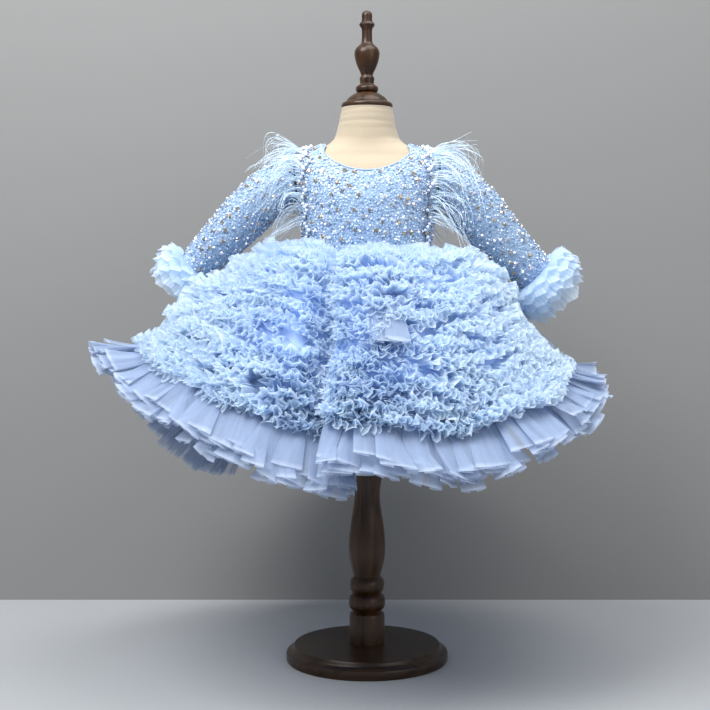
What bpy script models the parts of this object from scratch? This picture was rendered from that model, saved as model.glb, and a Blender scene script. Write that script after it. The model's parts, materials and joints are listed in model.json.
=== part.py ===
"""A toddler's ruffled party dress on a limbless dress form with a turned wooden stand.

Metres, +Z up. The origin is the centre of the base's underside. The dress faces -Y, and
"left" and "right" are the wearer's, so left is +X. Tables are in millimetres and degrees.
"""

import math

import bmesh
import bpy
import numpy as np

MM = 0.001

# Driving sizes of the stand
POLE_TOP = 480.0 * MM
NECK_TOP = 889.5 * MM
ARM_PLATE = 114.5 * MM

# Driving sizes of the dress
CLOTH_OFF_FORM = 2.5 * MM
BODICE_WALL = 2.0 * MM
SLEEVE_WALL = 1.6 * MM
SKIRT_WALL = 1.6 * MM
RUFFLE_WALL = 1.2 * MM
SEAM_HALF_TURN = 0.12
SEAM_TURN_SHARE = 0.0004
SEW_GAP = 0.5 * MM
RUFFLE_GAP = 0.95 * MM
SKIRT_WAIST = 626.5 * MM

# Resolution of the turned and lofted pieces
TURNED_SIDES = 16
FORM_SIDES = 24
SKIRT_COLUMNS = 56
SKIRT_ROWS = 5
HEM_ROWS = 2

# The base's edge, from the underside up: radius and height
BASE_EDGE = (
    (128.0, 0.0),
    (130.0, 2.0),
    (130.0, 12.5),
    (127.5, 15.0),
    (121.0, 17.0),
    (118.5, 21.5),
    (116.5, 26.0),
)

# The pole's turning, from the base up: height and radius
POLE_PROFILE = (
    (26.3, 28.5),
    (72.0, 28.5),
    (76.0, 26.0),
    (78.5, 22.0),
    (82.0, 27.0),
    (92.0, 29.5),
    (103.0, 27.5),
    (107.0, 21.0),
    (111.0, 26.0),
    (120.5, 28.0),
    (130.0, 26.0),
    (134.0, 21.5),
    (146.0, 24.5),
    (166.0, 28.5),
    (187.0, 29.5),
    (212.0, 27.5),
    (238.0, 23.6),
    (262.0, 20.8),
    (286.0, 23.0),
    (303.0, 26.5),
    (306.0, 23.5),
    (312.0, 26.5),
    (319.0, 18.0),
    (479.7, 18.0),
)

# The neck cap's turning, from the neck up: height above the neck and radius
CAP_PROFILE = (
    (0.3, 40.5),
    (3.0, 41.5),
    (6.5, 40.8),
    (8.5, 39.0),
    (10.0, 34.0),
    (13.5, 32.0),
    (17.5, 29.0),
    (22.8, 21.0),
    (25.3, 15.5),
)

# The finial's turning, from the neck cap up: height above the neck and radius
FINIAL_PROFILE = (
    (25.6, 15.5),
    (28.5, 18.0),
    (34.0, 18.0),
    (39.0, 11.2),
    (49.0, 12.0),
    (53.0, 9.3),
    (69.0, 16.0),
    (82.0, 19.8),
    (91.0, 20.3),
    (97.0, 17.5),
    (106.0, 9.0),
    (129.0, 8.8),
    (135.0, 12.7),
    (140.0, 8.6),
    (153.0, 8.4),
    (157.5, 2.0),
)

# The form's level sections from the hips to the neck
FORM_COLUMNS = ("height", "half_width", "half_depth", "back")
FORM_SECTIONS = (
    (480.3, 88.0, 70.0, 0.0),
    (487.0, 100.0, 80.0, 0.0),
    (515.0, 107.0, 86.0, 0.0),
    (555.0, 105.0, 84.0, 0.0),
    (590.0, 101.0, 81.0, 0.0),
    (618.0, 98.0, 78.0, 0.0),
    (645.0, 98.0, 78.0, 0.0),
    (675.0, 100.5, 81.0, 0.0),
    (705.0, 103.5, 83.5, 0.0),
    (735.0, 108.0, 83.5, 0.0),
    (758.0, 116.0, 80.0, 1.0),
    (778.0, 123.5, 74.0, 2.0),
    (792.0, 125.5, 67.5, 3.0),
    (802.0, 121.5, 61.0, 4.0),
    (810.0, 113.0, 56.0, 5.0),
    (817.0, 98.0, 52.5, 5.0),
    (823.0, 80.0, 49.5, 5.0),
    (830.0, 63.0, 47.0, 5.0),
    (842.0, 52.0, 45.0, 5.0),
    (864.0, 46.0, 43.0, 5.0),
    (889.5, 41.0, 41.0, 5.0),
)
BODY_SQUARENESS = 2.3
NECK_SQUARENESS = 2.0
SHOULDER_HEIGHT = 800.0 * MM
NECK_BLEND = 40.0 * MM

# Rows of a bodice panel, from the waist up: the height at the side edge, at the centre
# front and at the centre back. From the underarm to the shoulder the edge is the armhole.
BODICE_COLUMNS = ("edge", "front", "back")
BODICE_ROWS = (
    (628.0, 628.0, 628.0),
    (656.0, 654.0, 656.0),
    (686.0, 678.0, 684.0),
    (716.0, 700.0, 710.0),
    (740.0, 718.0, 732.0),
    (744.5, 722.0, 737.0),
    (752.0, 729.0, 745.0),
    (765.0, 740.0, 757.0),
    (779.0, 750.0, 768.0),
    (792.0, 759.0, 778.0),
    (802.0, 766.0, 786.0),
    (809.0, 772.0, 793.0),
    (813.5, 774.0, 797.0),
    (817.5, 776.5, 800.0),
    (821.5, 779.0, 803.0),
    (825.0, 781.0, 805.0),
)
UNDERARM_ROW = 4
SHOULDER_ROW = 12
ARMHOLE_LOW = (740.0 * MM, 109.0 * MM)
ARMHOLE_HIGH = (813.5 * MM, 117.0 * MM)
NECKLINE_ROUNDNESS = 7
FRONT_STEPS = 16
BACK_STEPS = 8

# The sleeves' sections from the armhole to the wrist
SLEEVE_COLUMNS = ("left_out", "left_up", "right_out", "right_up", "back", "half_high", "half_deep")
SLEEVE_SECTIONS = (
    (134.0, 766.0, 134.0, 768.0, 3.0, 39.0, 37.0),
    (158.0, 744.0, 160.0, 751.0, 5.0, 41.5, 38.0),
    (186.0, 714.0, 191.0, 722.0, 8.0, 41.5, 38.0),
    (215.0, 679.0, 222.0, 690.0, 12.0, 38.5, 36.0),
    (249.0, 646.0, 256.0, 656.0, 16.0, 33.5, 33.0),
    (280.0, 616.0, 285.0, 627.0, 20.0, 29.0, 29.0),
)
STRAIGHT_SECTION = 3
ARMHOLE_GAP = 1.6 * MM
RIGHT_SLEEVE_SIZE = 0.92
SLEEVE_SIDES = 16

# Each cuff's two gathered ruffles: name, where it leaves the sleeve along the arm, how far
# it travels down the arm, how far its root is off the sleeve, how far it flares, how many
# waves it has and how deep they are
CUFF_RUFFLES = (
    ("upper", -7.0, 12.0, 1.25, 31.0, 9, 6.0),
    ("lower", -2.0, 56.0, 0.8, 27.0, 9, 6.0),
)
RIGHT_CUFF_SIZE = 0.85
CUFF_POINTS_PER_WAVE = 4
CUFF_ROWS = 2
CUFF_FLARE_TURN = 1.35
CUFF_WAVE_DRIFT = 0.8
CUFF_TRAVEL_CURVE = 1.5

# The skirt round the body. The wrap starts at the left panel's free front edge, which
# lies on top, goes round the back and ends tucked under where it began. 0 is the front,
# 90 the left. Reach is the distance from the axis, to the lower edge of the base cloth
# and to the hem. Crown is how far the cloth springs up from the waist, and fullness is
# the share of the ruffles' height, less under the cuffs and where the end is tucked in.
SKIRT_TABLE_COLUMNS = (
    "angle", "edge_reach", "edge_height", "hem_reach", "hem_height", "crown", "fullness"
)
SKIRT_TABLE = (
    (-10.0, 334.0, 412.0, 392.0, 345.0, 60.0, 1.0),
    (5.0, 336.0, 414.0, 388.0, 342.0, 62.0, 1.0),
    (20.0, 338.0, 400.0, 392.0, 329.0, 55.0, 1.0),
    (35.0, 338.0, 418.0, 400.0, 351.0, 48.0, 1.0),
    (52.0, 324.0, 446.0, 396.0, 388.0, 40.0, 1.0),
    (72.0, 302.0, 468.0, 378.0, 426.0, 20.0, 0.75),
    (90.0, 304.0, 474.0, 366.0, 440.0, -2.0, 0.5),
    (107.0, 316.0, 468.0, 371.0, 418.0, 2.0, 0.7),
    (125.0, 322.0, 436.0, 376.0, 360.0, 28.0, 0.95),
    (150.0, 312.0, 384.0, 366.0, 310.0, 50.0, 1.0),
    (180.0, 312.0, 366.0, 362.0, 292.0, 55.0, 1.0),
    (210.0, 310.0, 350.0, 362.0, 272.0, 52.0, 1.0),
    (228.0, 308.0, 340.0, 362.0, 262.0, 40.0, 0.95),
    (246.0, 314.0, 386.0, 382.0, 323.0, 12.0, 0.7),
    (260.0, 326.0, 444.0, 404.0, 402.0, -12.0, 0.45),
    (272.0, 344.0, 482.0, 428.0, 462.0, -18.0, 0.45),
    (286.0, 350.0, 503.0, 433.0, 484.0, 10.0, 0.75),
    (302.0, 345.0, 482.0, 422.0, 438.0, 50.0, 1.0),
    (318.0, 340.0, 456.0, 406.0, 395.0, 70.0, 1.0),
    (333.0, 330.0, 427.0, 392.0, 352.0, 58.0, 1.0),
    (343.0, 312.0, 405.0, 378.0, 325.0, 34.0, 0.75),
    (350.0, 290.0, 392.0, 361.0, 312.0, 10.0, 0.35),
    (357.0, 274.0, 384.0, 348.0, 308.0, -6.0, 0.25),
)
WAIST_ANGLES = (-10.0, 0.0, 30.0, 338.0, 350.0, 357.0)
WAIST_OUTS = (9.0 * MM, 8.0 * MM, 5.2 * MM, 5.2 * MM, 5.2 * MM, 5.2 * MM)
WAIST_DROPS = (0.0, 0.0, 0.0, 0.0, 8.0 * MM, 9.0 * MM)
CROWN_SHARE = 0.42
EDGE_PULL = 100.0 * MM
RADIAL_SLOPE = 0.6
LEFT_SEAM_COLUMN = 15
BACK_SEAM_COLUMN = 29
RIGHT_SEAM_COLUMN = 43

# The rows of gathered ruffles on the base cloth: name, where each starts and ends down the
# slope (0 waist, 1 lower edge of the base cloth), and how its waves are shifted round
RUFFLE_ROWS = (
    ("ruffle_row_1", 0.03, 0.31, 0.0),
    ("ruffle_row_2", 0.20, 0.50, 1.9),
    ("ruffle_row_3", 0.40, 0.69, 3.7),
    ("ruffle_row_4", 0.60, 0.87, 5.3),
    ("ruffle_row_5", 0.80, 1.04, 0.8),
)
ROW_WAVES = 14
ROW_LIFT = 26.0 * MM
ROW_DEPTH = 11.0 * MM
ROW_STEPS = 2
ROW_LIFT_CURVE = 1.1
HEM_UNDER_SLOPES = (0.95, 1.0, 2.0)
HEM_UNDER_WAVES = 28
HEM_TOP_SLOPES = (0.86, 1.0, 1.92)
HEM_TOP_WAVES = 42
PLEAT_DEPTH = 9.0 * MM
PLEAT_SQUARENESS = 1.6
HEM_TOP_LIFT = 13.0 * MM
HEM_TOP_GAP = 0.4 * MM
HEM_TOP_SEAT = 2.2 * MM
HEM_SEAT_SHARE = 0.13
POINTS_PER_WAVE = 4

# The feather bands over the shoulders, from the front waist to the back waist
TRIM_HEIGHTS = (640.0 * MM, 700.0 * MM, 780.0 * MM, 813.0 * MM)
TRIM_SIDES = (86.0 * MM, 92.0 * MM, 100.0 * MM, 102.5 * MM)
TRIM_LOW = 642.0 * MM
TRIM_WIDTH = 6.0 * MM
TRIM_THICK = 1.4 * MM
TRIM_GAP = 0.9 * MM
TRIM_STEPS = 36
TRIM_TOP_HEIGHTS = (800.0 * MM, 830.0 * MM)
FIRST_LOCK_SHARE = 0.16
LOCK_STEPS = 3
LOCK_LENGTH = 34.0 * MM
LOCK_LENGTH_OVER = 46.0 * MM
LOCK_LENGTH_VARIES = 6.0 * MM
LOCK_VARIES_TURN = 2.4
RIGHT_LOCK_STEPS = 1
RIGHT_LOCK_SHARE = 0.7
LOCK_SPACING = 2
RIGHT_LOCK_SPACING = 3
LOCK_TAPER = 0.85
LOCK_TIP = 0.35


def material(name, colour, roughness):
    """A plain Principled material."""
    made = bpy.data.materials.new(name)
    made.use_nodes = True
    shader = made.node_tree.nodes["Principled BSDF"]
    shader.inputs["Base Color"].default_value = (*colour, 1.0)
    shader.inputs["Roughness"].default_value = roughness
    shader.inputs["Metallic"].default_value = 0.0
    made.diffuse_color = (*colour, 1.0)
    return made


def new_object(name, bm, collection, finish, smooth_angle=40.0):
    """Puts a bmesh in the scene as a named, smooth shaded object."""
    mesh = bpy.data.meshes.new(name)
    bm.to_mesh(mesh)
    bm.free()
    mesh.shade_smooth()
    mesh.set_sharp_from_angle(angle=math.radians(smooth_angle))
    made = bpy.data.objects.new(name, mesh)
    collection.objects.link(made)
    mesh.materials.append(finish)
    return made


def turned(name, profile, collection, finish):
    """A solid of revolution from (height, radius) pairs, as a Screw of its outline."""
    outline = [(0.0, profile[-1][0])]
    outline += [(radius, height) for height, radius in reversed(profile)]
    outline.append((0.0, profile[0][0]))
    bm = bmesh.new()
    line = [bm.verts.new((radius * MM, 0.0, height * MM)) for radius, height in outline]
    for first, second in zip(line, line[1:]):
        bm.edges.new((first, second))
    made = new_object(name, bm, collection, finish)
    spin = made.modifiers.new("Turning", "SCREW")
    spin.axis = "Z"
    spin.steps = TURNED_SIDES
    spin.render_steps = TURNED_SIDES
    spin.use_merge_vertices = True
    spin.merge_threshold = 0.0001
    spin.use_smooth_shade = True
    return made


def loft(bm, rows, round_ring):
    """Joins rows of points, each of the same length, with quads."""
    grid = [[bm.verts.new(point) for point in row] for row in rows]
    count = len(grid[0])
    last = count if round_ring else count - 1
    for low, high in zip(grid, grid[1:]):
        for i in range(last):
            j = (i + 1) % count
            bm.faces.new((low[i], low[j], high[j], high[i]))
    return grid


def cloth(name, rows, round_ring, wall, collection, finish, flip=False):
    """A cloth wall: an open surface through the rows, thickened outwards by Solidify."""
    bm = bmesh.new()
    loft(bm, rows, round_ring)
    if flip:
        bmesh.ops.reverse_faces(bm, faces=bm.faces)
    made = new_object(name, bm, collection, finish)
    thicken = made.modifiers.new("Wall", "SOLIDIFY")
    thicken.thickness = wall
    thicken.offset = 1.0
    return made


def column(table, columns, name):
    """One named column of a table as an array."""
    return np.array([row[columns.index(name)] for row in table], float)


def smooth_between(x, xs, ys):
    """A smooth curve through the points (xs, ys), with no overshoot between neighbours."""
    x = np.clip(x, xs[0], xs[-1])
    slopes = np.diff(ys) / np.diff(xs)
    inner = slopes[:-1] * slopes[1:]
    mean = 2 * inner / np.where(inner > 0, slopes[:-1] + slopes[1:], 1.0)
    tangents = np.concatenate((slopes[:1], np.where(inner > 0, mean, 0.0), slopes[-1:]))
    i = np.clip(np.searchsorted(xs, x) - 1, 0, len(xs) - 2)
    width = xs[i + 1] - xs[i]
    t = (x - xs[i]) / width
    return (
        (2 * t**3 - 3 * t**2 + 1) * ys[i]
        + (t**3 - 2 * t**2 + t) * width * tangents[i]
        + (3 * t**2 - 2 * t**3) * ys[i + 1]
        + (t**3 - t**2) * width * tangents[i + 1]
    )


def unit(vectors):
    """The vectors at length 1."""
    return vectors / np.linalg.norm(vectors, axis=-1, keepdims=True)


def form_size(height, name):
    """One size of the form's section at a height."""
    heights = column(FORM_SECTIONS, FORM_COLUMNS, "height")
    return smooth_between(height / MM, heights, column(FORM_SECTIONS, FORM_COLUMNS, name)) * MM


def form_surface(angle, height):
    """The form's surface at angles from the front, towards the left, and heights."""
    angle, height = np.broadcast_arrays(np.asarray(angle, float), np.asarray(height, float))
    neck = np.clip((height - SHOULDER_HEIGHT) / NECK_BLEND, 0.0, 1.0)
    power = 2.0 / (BODY_SQUARENESS + (NECK_SQUARENESS - BODY_SQUARENESS) * neck)
    side, front = np.sin(angle), np.cos(angle)
    x = np.sign(side) * np.abs(side) ** power * form_size(height, "half_width")
    y = -np.sign(front) * np.abs(front) ** power * form_size(height, "half_depth")
    return np.stack((x, y + form_size(height, "back"), height), axis=-1)


def off_form(angle, height, out):
    """Points that lie out from the form's surface, along its normal."""
    turn, rise = math.radians(3.0), 1.5 * MM
    round_it = form_surface(angle + turn, height) - form_surface(angle - turn, height)
    up = form_surface(angle, height + rise) - form_surface(angle, height - rise)
    return form_surface(angle, height) + unit(np.cross(round_it, up)) * out


def angle_across(side, height):
    """The angle, on the form's front, where its surface is at x = side."""
    low = np.zeros_like(height)
    high = np.full_like(height, math.pi / 2)
    for _ in range(30):
        middle = (low + high) / 2
        inside = form_surface(middle, height)[..., 0] < side
        low = np.where(inside, middle, low)
        high = np.where(inside, high, middle)
    return low


def make_stand(collection, wood, cover):
    """The turned base, pole, neck cap and finial, and the padded form between them."""
    turned("stand_base", [(height, radius) for radius, height in BASE_EDGE], collection, wood)
    turned("stand_pole", POLE_PROFILE, collection, wood)
    neck = NECK_TOP / MM
    for name, profile in (("neck_cap", CAP_PROFILE), ("finial", FINIAL_PROFILE)):
        raised = [(neck + height, radius) for height, radius in profile]
        made = turned(name, raised, collection, wood)
        made.location.y = form_size(NECK_TOP, "back")
    heights = column(FORM_SECTIONS, FORM_COLUMNS, "height") * MM
    angles = 2 * math.pi * np.arange(FORM_SIDES) / FORM_SIDES
    rings = [form_surface(angles, height) for height in heights]
    for ring in rings:
        ring[:, 0] = np.clip(ring[:, 0], -ARM_PLATE, ARM_PLATE)
    bm = bmesh.new()
    grid = loft(bm, rings, True)
    bm.faces.new(list(reversed(grid[0])))
    bm.faces.new(grid[-1])
    new_object("dress_form", bm, collection, cover)


def bodice_edge_angle(height):
    """The angle of a bodice panel's side edge: the side seam, or in at the armhole."""
    low, high = ARMHOLE_LOW, ARMHOLE_HIGH
    side = np.interp(height, (low[0], high[0]), (low[1], high[1])) - CLOTH_OFF_FORM
    seam = math.pi / 2 - math.radians(SEAM_HALF_TURN)
    inside = (height > low[0] + 1e-6) & (height < high[0] - 1e-6)
    return np.where(inside, np.minimum(angle_across(side, height), seam), seam)


def bodice_point(row, across, middle_column, out):
    """Bodice points: across runs from 0 at the panel's middle to 1 at its side edge."""
    rows = np.arange(len(BODICE_ROWS))
    edge = np.interp(row, rows, column(BODICE_ROWS, BODICE_COLUMNS, "edge")) * MM
    middle = np.interp(row, rows, column(BODICE_ROWS, BODICE_COLUMNS, middle_column)) * MM
    rise = 1 - (1 - across**2) ** NECKLINE_ROUNDNESS
    height = middle + (edge - middle) * rise
    return off_form(bodice_edge_angle(np.asarray(edge)) * across, height, out)


def back_point(row, across, side, out):
    """A point of a back panel: across runs 0 at the centre back to 1 at the side edge."""
    seam = math.radians(SEAM_HALF_TURN) / (math.pi / 2)
    point = bodice_point(row, seam + (1 - seam) * across, "back", 0.0)
    height = point[..., 2]
    rows = np.arange(len(BODICE_ROWS))
    edge = np.interp(row, rows, column(BODICE_ROWS, BODICE_COLUMNS, "edge")) * MM
    angle = math.pi - bodice_edge_angle(np.asarray(edge)) * (seam + (1 - seam) * across)
    return off_form(side * angle, height, out)


def make_bodice(collection, sequinned):
    """The front, and two backs that meet at the concealed centre-back closing."""
    rows = range(len(BODICE_ROWS))
    across = np.linspace(-1.0, 1.0, FRONT_STEPS + 1)
    front = [bodice_point(row, across, "front", CLOTH_OFF_FORM) for row in rows]
    cloth("bodice_front", front, False, BODICE_WALL, collection, sequinned)
    across = np.linspace(0.0, 1.0, BACK_STEPS + 1)
    for name, side in (("bodice_back_left", 1.0), ("bodice_back_right", -1.0)):
        back = [back_point(row, across, side, CLOTH_OFF_FORM) for row in rows]
        cloth(name, back, False, BODICE_WALL, collection, sequinned, flip=side > 0)


def evenly(loop, count):
    """Points evenly spaced along a closed loop."""
    closed = np.vstack((loop, loop[:1]))
    lengths = np.concatenate(([0.0], np.cumsum(np.linalg.norm(np.diff(closed, axis=0), axis=1))))
    wanted = np.linspace(0.0, lengths[-1], count, endpoint=False)
    return np.stack([np.interp(wanted, lengths, closed[:, k]) for k in range(3)], axis=-1)


def armhole_ring(out):
    """The left armhole's edge, out from the cloth, from the underarm round the front,
    over the shoulder and down the back."""
    rows = range(UNDERARM_ROW, SHOULDER_ROW + 1)
    one = np.array(1.0)
    front = [bodice_point(row, one, "front", out) for row in rows]
    back = [back_point(row, one, 1.0, out) for row in reversed(rows)]
    return evenly(np.array(front + back[1:-1]), SLEEVE_SIDES)


def arm_axis(side_name):
    """Centres down one arm, as if it were the left, and their downward directions."""
    names = (f"{side_name}_out", "back", f"{side_name}_up")
    centres = np.stack([column(SLEEVE_SECTIONS, SLEEVE_COLUMNS, n) for n in names], axis=-1) * MM
    return centres, unit(np.gradient(centres, axis=0))


def arm_frame(along):
    """The two directions across an arm: the upper outer one and the backward one."""
    back = unit(np.array((0.0, 1.0, 0.0)) - along * along[1])
    return np.cross(back, along), back


def sleeve_rings(side_name):
    """Rings of a sleeve's inside, from the armhole to the wrist, as if it were the left."""
    size = RIGHT_SLEEVE_SIZE if side_name == "right" else 1.0
    rings = [armhole_ring(CLOTH_OFF_FORM + BODICE_WALL + SEW_GAP) + np.array((ARMHOLE_GAP, 0.0, 0.0))]
    centres, directions = arm_axis(side_name)
    bend = np.minimum(1.0, np.arange(1, len(centres) + 1) / STRAIGHT_SECTION)[:, None]
    directions = unit(directions * bend + np.array((1.0, 0.0, 0.0)) * (1 - bend))
    highs = column(SLEEVE_SECTIONS, SLEEVE_COLUMNS, "half_high") * MM * size
    deeps = column(SLEEVE_SECTIONS, SLEEVE_COLUMNS, "half_deep") * MM * size
    turn = 2 * math.pi * np.arange(SLEEVE_SIDES)[:, None] / SLEEVE_SIDES
    for centre, along, half_high, half_deep in zip(centres, directions, highs, deeps):
        high, back = arm_frame(along)
        if high[2] < 0:
            high = -high
        ring = centre - high * np.cos(turn) * half_high - back * np.sin(turn) * half_deep
        rings.append(ring)
    return rings


def to_side(points, side):
    """The points on the left (side 1) or their mirror image on the right (side -1)."""
    return points * np.array((side, 1.0, 1.0))


def make_sleeves(collection, sequinned):
    """Both sleeves, sewn just outside the armholes."""
    for side_name, side in (("left", 1.0), ("right", -1.0)):
        rings = [to_side(ring, side) for ring in sleeve_rings(side_name)]
        name = f"sleeve_{side_name}"
        cloth(name, rings, True, SLEEVE_WALL, collection, sequinned, flip=side > 0)


def make_cuffs(collection, tulle):
    """Two gathered ruffles at each wrist, one over the other."""
    for side_name, side in (("left", 1.0), ("right", -1.0)):
        centres, directions = arm_axis(side_name)
        centre, along = centres[-1], directions[-1]
        high, back = arm_frame(along)
        if high[2] < 0:
            high = -high
        arm_size = RIGHT_SLEEVE_SIZE if side_name == "right" else 1.0
        wrist = SLEEVE_SECTIONS[-1][-1] * MM * arm_size + SLEEVE_WALL
        size = RIGHT_CUFF_SIZE if side_name == "right" else 1.0
        for name, start, travel, root, flare, waves, depth in CUFF_RUFFLES:
            count = waves * CUFF_POINTS_PER_WAVE
            turn = 2 * math.pi * np.arange(count)[:, None] / count
            wave = np.sin(waves * turn + CUFF_WAVE_DRIFT * np.sin(2 * turn))
            rings = []
            for step in range(CUFF_ROWS + 1):
                share = step / CUFF_ROWS
                reach = wrist + (root + math.sin(share * CUFF_FLARE_TURN) * flare * size) * MM
                slid = travel * share**CUFF_TRAVEL_CURVE + wave * depth * share
                slide = (start + slid * size) * MM
                around = -np.cos(turn) * high - np.sin(turn) * back
                rings.append(to_side(centre + along * slide + around * reach, side))
            full_name = f"cuff_{side_name}_{name}_ruffle"
            cloth(full_name, rings, True, RUFFLE_WALL, collection, tulle, flip=side > 0)


def skirt_value(angle, name):
    """One column of the skirt's table at angles round the wrap."""
    angles = column(SKIRT_TABLE, SKIRT_TABLE_COLUMNS, "angle")
    return smooth_between(angle, angles, column(SKIRT_TABLE, SKIRT_TABLE_COLUMNS, name))


def skirt_surface(angle, slope):
    """The skirt's base surface at angles round the wrap, for one slope: 0 is the waist, 1
    the lower edge of the base cloth and 2 the hem."""
    turn = np.radians(angle)
    waist_out = np.interp(angle, WAIST_ANGLES, WAIST_OUTS)[:, None]
    waist_height = SKIRT_WAIST - np.interp(angle, WAIST_ANGLES, WAIST_DROPS)
    waist = off_form(turn, waist_height, waist_out)
    waist_reach = np.hypot(waist[:, 0], waist[:, 1])
    start = np.stack((waist_reach, waist_height), axis=-1)
    edge = np.stack((skirt_value(angle, "edge_reach"), skirt_value(angle, "edge_height")), axis=-1) * MM
    hem = np.stack((skirt_value(angle, "hem_reach"), skirt_value(angle, "hem_height")), axis=-1) * MM
    if slope <= 1.0:
        spring = CROWN_SHARE * (edge[:, 0] - waist_reach)
        crown = start + np.stack((spring, skirt_value(angle, "crown") * MM), axis=-1)
        shoulder = edge - unit(hem - edge) * EDGE_PULL
        t = slope
        place = (1 - t) ** 3 * start + 3 * t * (1 - t) ** 2 * crown
        place += 3 * t**2 * (1 - t) * shoulder + t**3 * edge
    else:
        place = edge + (hem - edge) * (slope - 1.0)
    waist_way = unit(waist[:, :2])
    plain_way = np.stack((np.sin(turn), -np.cos(turn)), axis=-1)
    share = min(1.0, slope / RADIAL_SLOPE)
    way = unit(waist_way * (1 - share) + plain_way * share)
    return np.column_stack((way * place[:, :1], place[:, 1]))


def skirt_grid():
    """Points and outward normals of the base surface, by row down the slope and column
    round the wrap, with the slope of each row."""
    slopes = np.concatenate(
        (np.linspace(0.0, 1.0, SKIRT_ROWS + 1), np.linspace(1.0, 2.0, HEM_ROWS + 1)[1:])
    )
    angles = np.linspace(SKIRT_TABLE[0][0], SKIRT_TABLE[-1][0], SKIRT_COLUMNS + 1)
    points = np.array([skirt_surface(angles, slope) for slope in slopes])
    normals = unit(np.cross(np.gradient(points, axis=0), np.gradient(points, axis=1)))
    return points, normals, slopes, angles


def on_skirt(grid, turn, slope, out):
    """Points out from the skirt's faceted base surface, at shares of the wrap and one
    slope, read between the base surface's own points."""
    points, normals, slopes, _ = grid
    place = turn * SKIRT_COLUMNS
    i = np.clip(np.floor(place + 1e-6).astype(int), 0, SKIRT_COLUMNS - 1)
    j = int(np.clip(np.searchsorted(slopes, slope) - 1, 0, len(slopes) - 2))
    a = (place - i)[:, None]
    b = (slope - slopes[j]) / (slopes[j + 1] - slopes[j])
    out = np.broadcast_to(out, turn.shape)[:, None]

    def moved(row, col):
        return points[row, col] + normals[row, col] * out

    upper = moved(j, i) * (1 - a) + moved(j, i + 1) * a
    lower = moved(j + 1, i) * (1 - a) + moved(j + 1, i + 1) * a
    return upper * (1 - b) + lower * b


def make_skirt_base(grid, collection, tulle):
    """The base cloth in four panels, with seams at the sides and the centre back."""
    panels = (
        ("skirt_front_left", 0, LEFT_SEAM_COLUMN),
        ("skirt_back_left", LEFT_SEAM_COLUMN, BACK_SEAM_COLUMN),
        ("skirt_back_right", BACK_SEAM_COLUMN, RIGHT_SEAM_COLUMN),
        ("skirt_front_right", RIGHT_SEAM_COLUMN, SKIRT_COLUMNS),
    )
    seam = SEAM_TURN_SHARE
    for name, first, last in panels:
        turns = np.linspace(first, last, last - first + 1) / SKIRT_COLUMNS
        turns[0] += seam
        turns[-1] -= seam
        rows = [on_skirt(grid, turns, slope, 0.0) for slope in grid[2][: SKIRT_ROWS + 1]]
        cloth(name, rows, False, SKIRT_WALL, collection, tulle, flip=True)


def pleat(phase):
    """A soft box pleat between 0 and 1."""
    return 0.5 + 0.5 * np.tanh(PLEAT_SQUARENESS * np.sin(phase)) / math.tanh(PLEAT_SQUARENESS)


def make_ruffle(name, grid, slopes, waves, stand_out, collection, finish):
    """A gathered strip round the skirt. stand_out gives how far it stands off the base
    surface, from the share down the strip, the waves' phase and the fullness there."""
    turn = np.linspace(0.0, 1.0, waves * POINTS_PER_WAVE + 1)
    angles = grid[3][0] + (grid[3][-1] - grid[3][0]) * turn
    fullness = skirt_value(angles, "fullness")
    phase = 2 * math.pi * waves * turn + math.pi / 4
    rows = []
    for slope in slopes:
        share = (slope - slopes[0]) / (slopes[-1] - slopes[0])
        out = SKIRT_WALL + RUFFLE_GAP + stand_out(share, phase, fullness)
        rows.append(on_skirt(grid, turn, slope, out))
    cloth(name, rows, False, RUFFLE_WALL, collection, finish, flip=True)


def make_ruffle_rows(grid, collection, tulle):
    """The stacked ruffle rows, each lying over the head of the next."""
    for name, start, end, shift in RUFFLE_ROWS:

        def stand_out(share, phase, fullness, shift=shift):
            wave = 0.5 + 0.5 * np.sin(phase + shift)
            return (ROW_LIFT * share**ROW_LIFT_CURVE + ROW_DEPTH * share * wave) * fullness

        slopes = np.linspace(start, end, ROW_STEPS + 1)
        make_ruffle(name, grid, slopes, ROW_WAVES, stand_out, collection, tulle)


def make_hem(grid, collection, tulle):
    """The two deep pleated hem ruffles, the upper one over the lower one."""

    def under(share, phase, fullness):
        return PLEAT_DEPTH * share * pleat(phase) * fullness

    def top(share, phase, fullness):
        seat = HEM_TOP_SEAT * min(1.0, share / HEM_SEAT_SHARE)
        lift = HEM_TOP_LIFT * share**0.5
        return HEM_TOP_GAP + seat + (lift + PLEAT_DEPTH * share * pleat(phase)) * fullness

    make_ruffle(
        "hem_ruffle_under", grid, HEM_UNDER_SLOPES, HEM_UNDER_WAVES, under, collection, tulle
    )
    make_ruffle("hem_ruffle_top", grid, HEM_TOP_SLOPES, HEM_TOP_WAVES, top, collection, tulle)


def trim_path():
    """The left feather band's middle line and the cloth's normals along it, up the front,
    over the shoulder and down the back."""
    out = CLOTH_OFF_FORM + BODICE_WALL + TRIM_GAP
    turn = math.pi * np.arange(TRIM_STEPS + 1) / TRIM_STEPS
    shoulder = TRIM_SIDES[-1]
    heights = np.linspace(*TRIM_TOP_HEIGHTS, 301)
    widths = form_size(heights, "half_width")
    top = float(np.interp(-shoulder, -widths, heights))
    height = TRIM_LOW + (top - TRIM_LOW) * np.sin(turn) ** 0.9
    height = np.minimum(height, top - 0.02 * MM)
    side = np.interp(height, TRIM_HEIGHTS, TRIM_SIDES)
    angle = angle_across(side, height)
    angle = np.where(turn > math.pi / 2, math.pi - angle, angle)
    points = off_form(angle, height, out)
    return points, unit(off_form(angle, height, out + MM) - points)


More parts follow.
